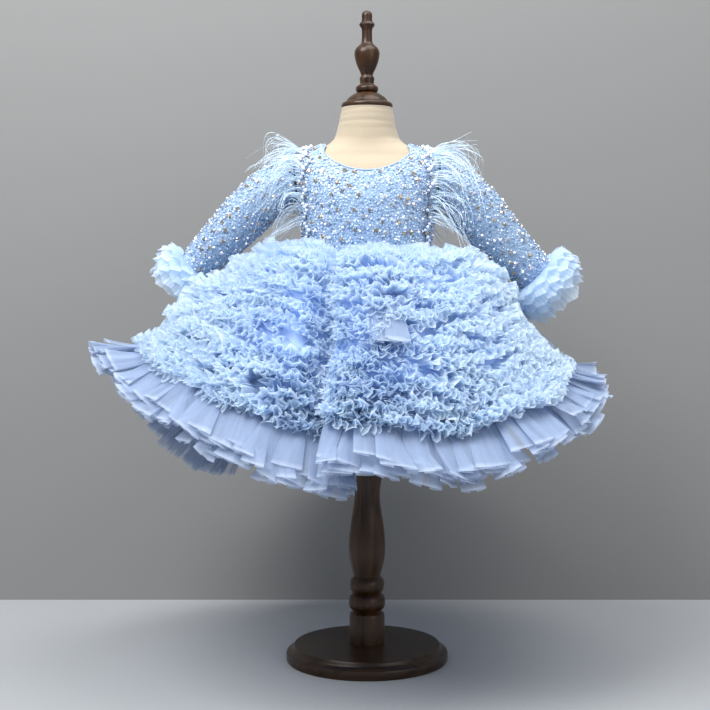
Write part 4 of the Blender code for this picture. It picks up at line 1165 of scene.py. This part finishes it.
sleevePieces, sleeveGrids = {}, {}
for sideName, side in (("Left", 1.0), ("Right", -1.0)):
    rng = np.random.default_rng(60 if side > 0 else 61)
    grid = finer(sleeveRings(sideName.lower()), sleeveSizes["rowsEach"], sleeveSizes["sides"])
    normals = ringNormals(grid)
    rows, sides = grid.shape[:2]
    down, turn = np.meshgrid(np.linspace(0, 1, rows), np.arange(sides) / sides, indexing="ij")
    rise = np.zeros_like(down)
    for _ in range(sleeveSizes["puckers"]):  # short soft creases across the arm, more at the elbow
        at, near = rng.normal(0.5, 0.22), rng.uniform(0, 1)
        wide, tilt, reach = rng.uniform(0.012, 0.03), rng.uniform(-0.25, 0.25), rng.uniform(0.08, 0.22)
        apart = (turn - near + 0.5) % 1.0 - 0.5
        crease = np.exp(-(((down - at - tilt * apart) / wide) ** 2))
        rise -= rng.uniform(0.3, 1.0) * crease * np.exp(-((apart / reach) ** 2))
    rise = np.clip(rise, -1.3, 0.4) * sleeveSizes["puckerDepth"] * mm * np.clip(down * 8, 0, 1)
    grid = grid + normals * (1.0 * mm + rise)[..., None]
    grid = grid * np.array((side, 1.0, 1.0))
    sleeveGrids[sideName] = (grid, normals * np.array((side, 1.0, 1.0)))
    cloth = Strips()
    cloth.add(grid if side < 0 else grid[:, ::-1], closed=True)
    piece = cloth.keep(f"sleeve{sideName}")
    thicken(piece, sleeveSizes["wall"] * mm)
    settle(piece, bodiceCloth, (f"sleeve_{sideName.lower()}",))
    around = np.linalg.norm(grid - np.roll(grid, 1, axis=1), axis=-1).sum(axis=1).mean()
    sleevePieces[sideName] = (piece, (float(around), cloth.depths[0]))
print("dress: sleeves set")


# the gathered cuffs

cuffs = {  # start, travel, flare and waves of each layer
    "Upper": ((-8.0, 5.0, 33.0, 17.0), (-6.0, 16.0, 36.0, 19.0), (-4.0, 29.0, 35.0, 16.0)),
    "Lower": ((-3.0, 40.0, 30.0, 18.0), (-1.0, 53.0, 21.0, 15.0)),
    "swing": 5.0, "points": 14, "steps": 7, "rightSize": 0.9, "uneven": 0.11, "curl": 1.6,
    "crowding": (0.45, 1.6), "tall": (0.3, 1.3), "bend": 1.35, "wrist": 29.0,
}


def makeCuff(name, sideName, side, layers, seed):
    rng = np.random.default_rng(seed)
    centres, ways = armAxis(sideName)
    centre, along = centres[-1], ways[-1]
    high, back = armFrame(along)
    arm = sleeveSizes["rightSize"] if sideName == "right" else 1.0
    size = cuffs["rightSize"] if sideName == "right" else 1.0
    wrist = cuffs["wrist"] * mm * arm + 1.8 * mm
    strips = Strips()
    for start, travel, flare, waves in layers:
        waves = int(waves)
        count = waves * cuffs["points"]
        sequence = np.arange(count) / cuffs["points"]
        knots = np.arange(waves + 1)
        ends = np.concatenate(([0.0], np.cumsum(rng.uniform(*cuffs["crowding"], waves))))
        turn = 2 * math.pi * np.interp(sequence, knots, ends / ends[-1]) + rng.uniform(0, 6.28)
        phase = 2 * math.pi * sequence
        tall = rng.uniform(*cuffs["tall"], waves + 1)
        tall[-1] = tall[0]
        swing = np.interp(sequence, knots, tall) * cuffs["swing"]
        lengths = rng.uniform(-1.0, 1.0, waves + 1)
        lengths[-1] = lengths[0]
        longer = 1 + cuffs["uneven"] * np.interp(sequence, knots, lengths)
        bow = rng.uniform(-0.5, 0.5)
        rows = []
        for step in range(cuffs["steps"] + 1):
            q = step / cuffs["steps"]
            bent = q * cuffs["bend"]
            spread = math.sin(bent) * flare * size * longer + 0.3 * swing * q * np.sin(phase + 1.6)
            reach = wrist + (0.8 + spread) * mm
            swung = swing * q**0.8 * (np.sin(phase) + 0.3 * q * np.sin(3 * phase + bow))
            slide = (start + (travel * q**1.5 * longer + swung) * size) * mm
            twist = turn + 0.05 * cuffs["curl"] * q * np.sin(2 * phase + bow) + 0.12 * bow * q * q
            around = -np.cos(twist)[:, None] * high - np.sin(twist)[:, None] * back
            rows.append(centre + along * slide[:, None] + around * reach[:, None])
        strips.add(np.array(rows) * np.array((side, 1.0, 1.0)), closed=True)
    piece = strips.keep(name)
    return piece, strips


for sideName, side in (("Left", 1.0), ("Right", -1.0)):
    for number, part in enumerate(("Upper", "Lower")):
        name = f"cuff{sideName}{part}"
        seed = 400 + number + (5 if side > 0 else 0)
        piece, strips = makeCuff(name, sideName.lower(), side, cuffs[part], seed)
        settle(piece, cuffTulle, (f"cuff_{sideName.lower()}_{part.lower()}_ruffle",))
print("dress: cuffs gathered")


# sequins, beads and crystals

dots = {  # size, step, clear edge, smallest and largest share of the size, height off the cloth, tip
    "Sequins": (3.6, 4.5, 1.0, 0.8, 1.15, (0.1, 0.9), 0.12),
    "Beads": (1.35, 8.0, 1.0, 0.7, 1.2, 1.1, 0.2),
    "Crystals": (3.7, 22.0, 3.0, 0.8, 1.2, 1.4, 0.08),
    "Pearls": (2.1, 24.0, 3.0, 0.8, 1.2, 1.6, 0.08),
}
claws = {
    "size": 0.75, "lift": 1.7, "out": 0.95, "tint": 0.9, "tip": 0.05, "turns": (0.0, 1.571, 3.142, 4.712),
}
dotArea = {"low": 0.629, "tall": 0.2}  # on the bodice, in metres

sequinTemplate = templateFrom(
    lambda: bpy.ops.mesh.primitive_circle_add(vertices=7, radius=0.5, fill_type="TRIFAN")
)
sequinTemplate[0][:, 2] += 0.12 * (1 - np.hypot(sequinTemplate[0][:, 0], sequinTemplate[0][:, 1]) / 0.5)
beadTemplate = templateFrom(lambda: bpy.ops.mesh.primitive_ico_sphere_add(subdivisions=1, radius=1.0))
pearlTemplate = templateFrom(lambda: bpy.ops.mesh.primitive_ico_sphere_add(subdivisions=2, radius=1.0))
crystalTemplate = templateFrom(
    lambda: bpy.ops.mesh.primitive_cone_add(vertices=8, radius1=1.0, radius2=0.5, depth=0.8)
)


def scatter(width, height, step, rng):  # a jittered staggered lattice
    ys = np.arange(0.0, height, step * 0.866)
    places = []
    for number, y in enumerate(ys):
        xs = np.arange(-step * (number % 2) / 2, width, step)
        places.append(np.column_stack((xs, np.full_like(xs, y))))
    places = np.concatenate(places)
    return places + rng.uniform(-0.3, 0.3, places.shape) * step


def onBodice(step, rng, margin):
    places = scatter(2 * math.pi * bodiceRound, dotArea["tall"], step * mm, rng)
    turn, height = places[:, 0] / bodiceRound - math.pi, dotArea["low"] + places[:, 1]
    point = offForm(turn, height, np.full_like(turn, clothOffForm + 1.2 * mm))
    side = np.interp(height, (armholeLow[0], armholeHigh[0]), (armholeLow[1], armholeHigh[1]))
    arm = (height > armholeLow[0]) & (height < armholeHigh[0]) & (np.abs(point[:, 0]) > side)
    keep = (height < necklineHeight(turn) - margin * mm) & ~arm & (np.abs(turn) < math.pi)
    turn, height, point = turn[keep], height[keep], point[keep]
    creases = creaseRise(turn, height, bodiceSizes["frontCreases"])
    creases = np.where(np.abs(turn) < math.pi / 2, creases, 0.0)
    normal = formNormal(turn, height)
    return point + normal * creases[:, None], normal


def onSleeve(sideName, step, rng, margin):
    grid, normals = sleeveGrids[sideName]
    around = np.linalg.norm(grid - np.roll(grid, 1, axis=1), axis=-1).sum(axis=1)
    down = np.linalg.norm(np.diff(grid, axis=0), axis=-1).mean(axis=1)
    fall = np.concatenate(([0.0], np.cumsum(down)))
    places = scatter(around.max(), fall[-1], step * mm, rng)
    row = np.interp(places[:, 1], fall, np.arange(len(grid)))
    here = np.interp(row, np.arange(len(grid)), around)
    keep = (places[:, 0] < here) & (places[:, 1] > margin * mm) & (places[:, 1] < fall[-1] - margin * mm)
    row, share = row[keep], (places[:, 0] / here)[keep] % 1.0
    x = share * grid.shape[1]
    i, j = np.floor(x).astype(int) % grid.shape[1], np.clip(np.floor(row).astype(int), 0, len(grid) - 2)
    a, b = (x - np.floor(x))[:, None], (row - j)[:, None]
    point, normal = (blend(table, j, i, b, a, (i + 1) % grid.shape[1]) for table in (grid, normals))
    normal = unit(normal)
    return point + normal * 0.3 * mm, normal


def sewDots(prefix, kind, reader, rng, template, look):
    size, step, edge, smallest, largest, off, tip = dots[kind]
    point, normal = reader(step, rng, edge)
    sizes = rng.uniform(smallest, largest, len(point)) * size * mm
    if kind == "Sequins":  # sequins lie loosely over one another
        off = rng.uniform(*off, len(point))[:, None]
    raised = point + normal * off * mm
    frames = framesAlong(normal, rng, tip)
    made = placed(f"{prefix}{kind}", template, raised, frames, sizes, rng.uniform(0, 1, len(point)))
    return settle(made, look), point, normal, sizes


def sewClaws(prefix, point, normal, sizes, rng):  # four small claws round each crystal
    aside = framesAlong(normal, rng, claws["tip"])
    corners = [aside[..., 0] * math.cos(k) + aside[..., 1] * math.sin(k) for k in claws["turns"]]
    raised = point + normal * claws["lift"] * mm
    places = np.concatenate([raised + corner * sizes[:, None] * claws["out"] for corner in corners])
    count = len(places)
    frames = np.tile(np.eye(3), (count, 1, 1))
    clawSizes, clawTints = np.full(count, claws["size"] * mm), np.full(count, claws["tint"])
    made = placed(f"{prefix}Claws", beadTemplate, places, frames, clawSizes, clawTints)
    return settle(made, crystalFinish)


def scatterDots(prefix, reader, seed, sequinLook):
    rng = np.random.default_rng(seed)
    sequins = sewDots(prefix, "Sequins", reader, rng, sequinTemplate, sequinLook)[0]
    beads = sewDots(prefix, "Beads", reader, rng, beadTemplate, beadFinish)[0]
    crystals, *places = sewDots(prefix, "Crystals", reader, rng, crystalTemplate, crystalFinish)
    for face in crystals.data.polygons:
        face.use_smooth = False
    clawed = sewClaws(prefix, *places, rng)
    pearls = sewDots(prefix, "Pearls", reader, rng, pearlTemplate, pearlFinish)[0]
    print("dress:", prefix, "has", len(sequins.data.polygons) // 7, "sequins")
    return [sequins, beads, crystals, clawed, pearls]


bodiceDots = scatterDots("bodice", onBodice, 500, sequinFinish)
# the sleeves' sequins wear the darkened colours, painted shade
sleeveDots = {
    sideName: scatterDots(f"sleeve{sideName}", partial(onSleeve, sideName), seed, shadedSleeveSequinFinish)
    for sideName, seed in (("Left", 520), ("Right", 540))
}


# the neckline's binding

binding = {"radius": 1.3, "steps": 240, "sides": 8}


def ringTube(name, path, radius, sides, look):
    ways = unit(np.roll(path, -1, axis=0) - np.roll(path, 1, axis=0))
    up = np.array((0.0, 0.0, 1.0))
    first = unit(np.cross(ways, up) + 1e-9)
    second = np.cross(first, ways)
    turn = 2 * math.pi * np.arange(sides) / sides
    circle = first[:, None] * np.cos(turn)[None, :, None] + second[:, None] * np.sin(turn)[None, :, None]
    rings = path[:, None] + circle * radius
    rings = np.concatenate((rings, rings[:1]))
    made = keepMesh(name, rings.reshape(-1, 3), gridFaces(len(rings), sides, True))
    selectOnly(made)
    bpy.ops.object.mode_set(mode="EDIT")
    bpy.ops.mesh.select_all(action="SELECT")
    bpy.ops.mesh.remove_doubles(threshold=0.00001)
    bpy.ops.mesh.normals_make_consistent(inside=False)
    bpy.ops.object.mode_set(mode="OBJECT")
    return settle(made, look)


turn = np.linspace(-math.pi, math.pi, binding["steps"], endpoint=False)
neckPath = offForm(turn, necklineHeight(turn), np.full_like(turn, clothOffForm + 1.2 * mm))
neckBinding = ringTube("neckBinding", neckPath, binding["radius"] * mm, binding["sides"], bodiceCloth)
print("dress: neckline bound")


# the feather bands, barbs and pearl strings

feathers = {
    "clumps": 60, "each": 6, "steps": 14, "width": 1.05, "length": 94.0, "hairs": 8, "hair": 6.0,
    "seed": 71, "pearlStep": 6.0, "pearl": 3.0, "zig": 6.6, "zigPearls": 6.0, "closeness": 0.86,
    # how far in, first and last share of the trim, how far off the form
    "strings": ((2.0, 0.0, 1.0, 5.6), (10.0, 0.30, 0.70, 5.0), (-4.0, 0.42, 0.58, 5.2)),
}
trimLow = 0.642
trimHeights = np.array((640.0, 700.0, 780.0, 813.0)) * mm
trimSides = np.array((86.0, 92.0, 100.0, 102.5)) * mm


def trimPath(share, inwards, out):  # share 0 at the front waist, 1 at the back waist
    turn = math.pi * share
    heights = np.linspace(0.80, 0.83, 301)
    top = float(np.interp(-trimSides[-1], -formSize(heights, 1), heights))
    height = trimLow + (top - trimLow) * np.sin(turn) ** 0.9
    height = np.minimum(height, top - 0.02 * mm)
    side = np.interp(height, trimHeights, trimSides) - inwards
    angle = frontAngleAt(side, height)
    angle = np.where(turn > math.pi / 2, math.pi - angle, angle)
    point = offForm(angle, height, np.full_like(angle, out))
    return point, unit(offForm(angle, height, np.full_like(angle, out + mm)) - point)


def makeBand(side):
    share = np.linspace(0.0, 1.0, 160)
    point, normal = trimPath(share, 0.0, clothOffForm + 3.0 * mm)
    along = unit(np.gradient(point, axis=0))
    across = unit(np.cross(along, normal))
    across *= np.sign(across[:, :1])
    rows = [point + across * 3.0 * mm * k + normal * (1 - k * k) * 0.8 * mm for k in np.linspace(-1, 1, 7)]
    return np.array(rows) * np.array((side, 1.0, 1.0))


def makeBarbs(side, sizes):  # long thin barbs in clumps, each with a few short hairs
    rng = np.random.default_rng(sizes["seed"] + (1 if side > 0 else 0))
    clumps, each, steps = sizes["clumps"], sizes["each"], sizes["steps"]
    count = clumps * each
    clump = np.repeat(np.arange(clumps), each)
    clumpShare = 0.10 + 0.80 * (np.arange(clumps) + rng.uniform(0.2, 0.8, clumps)) / clumps
    share = np.clip(clumpShare[clump] + rng.normal(0.0, 0.006, count), 0.04, 0.96)
    root, normal = trimPath(share, 0.0, clothOffForm + 3.4 * mm)
    over, fromFront = np.sin(math.pi * share), np.cos(math.pi * share)
    way = np.column_stack((1.0 + 0.1 * over, -fromFront * 0.55, 0.10 + 0.10 * over**5))
    clumpWay = rng.normal(0.0, 0.30, (clumps, 3))
    way = unit(unit(way) + clumpWay[clump] + rng.normal(0.0, 0.09, (count, 3)))
    way[:, 0] = np.abs(way[:, 0])
    clumpLength = rng.uniform(0.7, 1.25, clumps)
    length = sizes["length"] * (0.70 + 0.30 * over**2) * clumpLength[clump]
    length = length * rng.uniform(0.75, 1.15, count) * mm
    droop = (rng.uniform(0.35, 1.15, clumps))[clump] * rng.uniform(0.85, 1.2, count)
    curlWay = unit(rng.normal(0.0, 1.0, (clumps, 3)))[clump] + rng.normal(0.0, 0.35, (count, 3))
    t = np.linspace(0.0, 1.0, steps + 1)[None, :, None]
    fall = np.array((0.0, 0.0, -1.0))
    line = root[:, None] + length[:, None, None] * (
        way[:, None] * (t - 0.22 * t**2) + fall * droop[:, None, None] * 0.72 * t**2.4
        + curlWay[:, None] * 0.17 * np.sin(3.6 * t) * t
    )
    line[..., 0] = np.maximum(line[..., 0], 0.100)
    ways = unit(np.gradient(line, axis=1))
    aside = unit(np.cross(ways, unit(rng.normal(0.0, 1.0, (count, 3)))[:, None]))
    thin = sizes["width"] * mm * (1 - 0.75 * t)
    ribbon = np.stack((line - aside * thin / 2, line + aside * thin / 2), axis=2)
    perBarb = (steps + 1) * 2
    quads = []
    for k in range(steps):
        first = np.arange(count) * perBarb + 2 * k
        quads.append(np.column_stack((first, first + 1, first + 3, first + 2)))
    hairCount = sizes["hairs"]
    at = rng.uniform(0.15, 0.99, (count, hairCount))
    place = at * steps
    k = np.clip(np.floor(place).astype(int), 0, steps - 1)
    part = (place - k)[..., None]
    who = np.arange(count)[:, None]
    start = line[who, k] * (1 - part) + line[who, k + 1] * part
    lead = ways[who, k]
    sideWay = unit(np.cross(lead, rng.normal(0.0, 1.0, (count, hairCount, 3))))
    hairWay = unit(lead * 1.1 + sideWay * 0.6 + fall * 0.2)
    hairLength = (sizes["hair"] * rng.uniform(0.5, 1.3, (count, hairCount)))[..., None] * mm
    tip = start + hairWay * hairLength
    wide = unit(np.cross(hairWay, sideWay)) * 0.14 * mm
    hairs = np.stack((start - wide, start + wide, tip + wide * 0.4, tip - wide * 0.4), axis=2)
    hairs = hairs.reshape(-1, 3)
    barbs = ribbon.reshape(-1, 3)
    hairQuads = len(barbs) + np.arange(count * hairCount * 4).reshape(-1, 4)
    everything = np.concatenate((barbs, hairs)) * np.array((side, 1.0, 1.0))
    return everything, np.concatenate((*quads, hairQuads))


for sideName, side in (("Left", 1.0), ("Right", -1.0)):
    band = makeBand(side)
    rows, columns = band.shape[:2]
    barbPoints, barbFaces = makeBarbs(side, feathers)
    points = np.concatenate((band.reshape(-1, 3), barbPoints))
    faces = np.concatenate((gridFaces(rows, columns, False), barbFaces + rows * columns))
    piece = keepMesh(f"feathers{sideName}", points, faces, False)
    settle(piece, featherFinish, (f"feather_trim_{sideName.lower()}",))
    piece.data.materials.append(bodiceCloth)
    bandFaces = (rows - 1) * (columns - 1)
    worn = np.zeros(len(piece.data.polygons), np.int32)
    worn[:bandFaces] = 1
    piece.data.polygons.foreach_set("material_index", worn)
    rng = np.random.default_rng(81 if side > 0 else 82)
    strings = []
    for inwards, first, last, lift in feathers["strings"]:
        share = np.linspace(first, last, 400)
        point, normal = trimPath(share, inwards * mm, clothOffForm + lift * mm)
        run = runAlong(point)
        count = int(run[-1] / (feathers["pearlStep"] * feathers["closeness"] * mm))
        wanted = np.linspace(0, run[-1], count)
        centre = np.stack([np.interp(wanted, run, point[:, k]) for k in range(3)], axis=-1)
        outward = unit(np.stack([np.interp(wanted, run, normal[:, k]) for k in range(3)], axis=-1))
        along = unit(np.gradient(centre, axis=0))
        across = np.cross(along, outward)
        zig = (2 * np.abs((np.arange(count) / feathers["zigPearls"]) % 1.0 - 0.5) - 0.5) * 2
        centre = centre + across * (zig * feathers["zig"] * mm)[:, None]
        centre = centre + outward * rng.uniform(0.0, 1.0, count)[:, None] * mm
        strings.append((centre, outward))
    centre = np.concatenate([s[0] for s in strings]) * np.array((side, 1.0, 1.0))
    outward = np.concatenate([s[1] for s in strings]) * np.array((side, 1.0, 1.0))
    isCrystal = rng.uniform(0, 1, len(centre)) < 0.2
    sizes = rng.uniform(0.75, 1.15, len(centre)) * feathers["pearl"] * mm
    spread = rng.uniform(0, 1, len(centre))
    for name, template, these, tip, look in (
        (f"pearls{sideName}", pearlTemplate, ~isCrystal, 0.3, pearlFinish),
        (f"stones{sideName}", crystalTemplate, isCrystal, 0.2, crystalFinish),
    ):
        frames = framesAlong(outward[these], rng, tip)
        beads = placed(name, template, centre[these], frames, sizes[these], spread[these])
        settle(beads, look)
print("dress: feathers and pearls sewn on")


# each sleeve's piece and its flat sizes are read back, and not used further

for sideName in ("Left", "Right"):
    piece, flat = sleevePieces[sideName]


# the room and the light

standing = (math.radians(90.0), 0.0, 0.0)
studio = {
    "distance": 2.18, "height": 0.5935, "lens": 68.45, "shift": (-0.0169, -0.0901), "wall": 0.415,
    "size": 8.0, "floorColour": (0.37, 0.385, 0.40), "wallColour": (0.232, 0.232, 0.229),
    "air": (0.82, 0.86, 0.92), "airPower": 0.48,
}


def addPlane(name, place, turned):
    bpy.ops.object.select_all(action="DESELECT")
    bpy.ops.mesh.primitive_plane_add(size=studio["size"], location=place, rotation=turned)
    made = bpy.context.active_object
    made.name = name
    selectOnly(made)
    bpy.ops.object.transform_apply(location=True, rotation=True, scale=True)
    return made


floor = addPlane("studioFloor", (0.0, 0.0, 0.0), (0.0, 0.0, 0.0))
wall = addPlane("studioWall", (0.0, studio["wall"], 0.0), standing)
floorFinish, _ = finish("Pale floor", studio["floorColour"], 0.6)
wallFinish, wallShader = finish("Grey wall", studio["wallColour"], 0.9)
facing = addNode(wallFinish.node_tree, "ShaderNodeNewGeometry")
onlyFront = addNode(wallFinish.node_tree, "ShaderNodeMath", {0: 1.0}, operation="SUBTRACT")
wire(wallFinish.node_tree, (facing, "Backfacing", onlyFront, 1), (onlyFront, 0, wallShader, "Alpha"))
wear(floor, floorFinish)
wear(wall, wallFinish)
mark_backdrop(floor, wall)


def areaLight(name, place, size, power, target):
    bpy.ops.object.select_all(action="DESELECT")
    bpy.ops.object.light_add(type="AREA", location=place)
    made = bpy.context.active_object
    made.name = name
    made.data.shape = "RECTANGLE"
    made.data.size, made.data.size_y = size
    made.data.energy = power
    way = np.array(target) - np.array(place)
    flat = math.hypot(way[0], way[1])
    made.rotation_euler = (math.atan2(flat, -way[2]), 0.0, math.atan2(-way[0], way[1]))
    return made


lights = {  # place, size, power, what it points at
    "keyLight": ((-1.05, -1.15, 2.45), (1.5, 1.5), 81.0, (0.0, 0.0, 0.6)),
    "fillLight": ((1.6, -1.8, 1.3), (1.6, 1.6), 11.0, (0.0, 0.0, 0.6)),
    "topLight": ((0.6, -0.2, 2.6), (2.4, 1.6), 54.0, (0.1, 0.0, 0.3)),
}
for name, values in lights.items():
    areaLight(name, *values)
bpy.context.scene.view_settings.view_transform = "Standard"
world = bpy.data.worlds.new("Studio air")
world.use_nodes = True
air = world.node_tree.nodes["Background"]
air.inputs["Color"].default_value = (*studio["air"], 1.0)
air.inputs["Strength"].default_value = studio["airPower"]
bpy.context.scene.world = world

bpy.ops.object.select_all(action="DESELECT")
bpy.ops.object.camera_add(location=(0.0, -studio["distance"], studio["height"]), rotation=standing)
camera = bpy.context.active_object
camera.name = "photoCamera"
camera.data.sensor_width = 36.0
camera.data.lens = studio["lens"]
camera.data.shift_x, camera.data.shift_y = studio["shift"]
bpy.context.scene.camera = camera
print("dress: studio lit")

newPieces = [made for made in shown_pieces() if "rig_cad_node" not in made]
total = sum(len(polygon.vertices) - 2 for made in newPieces for polygon in made.data.polygons)
print("dress: all new pieces have", total, "triangles")
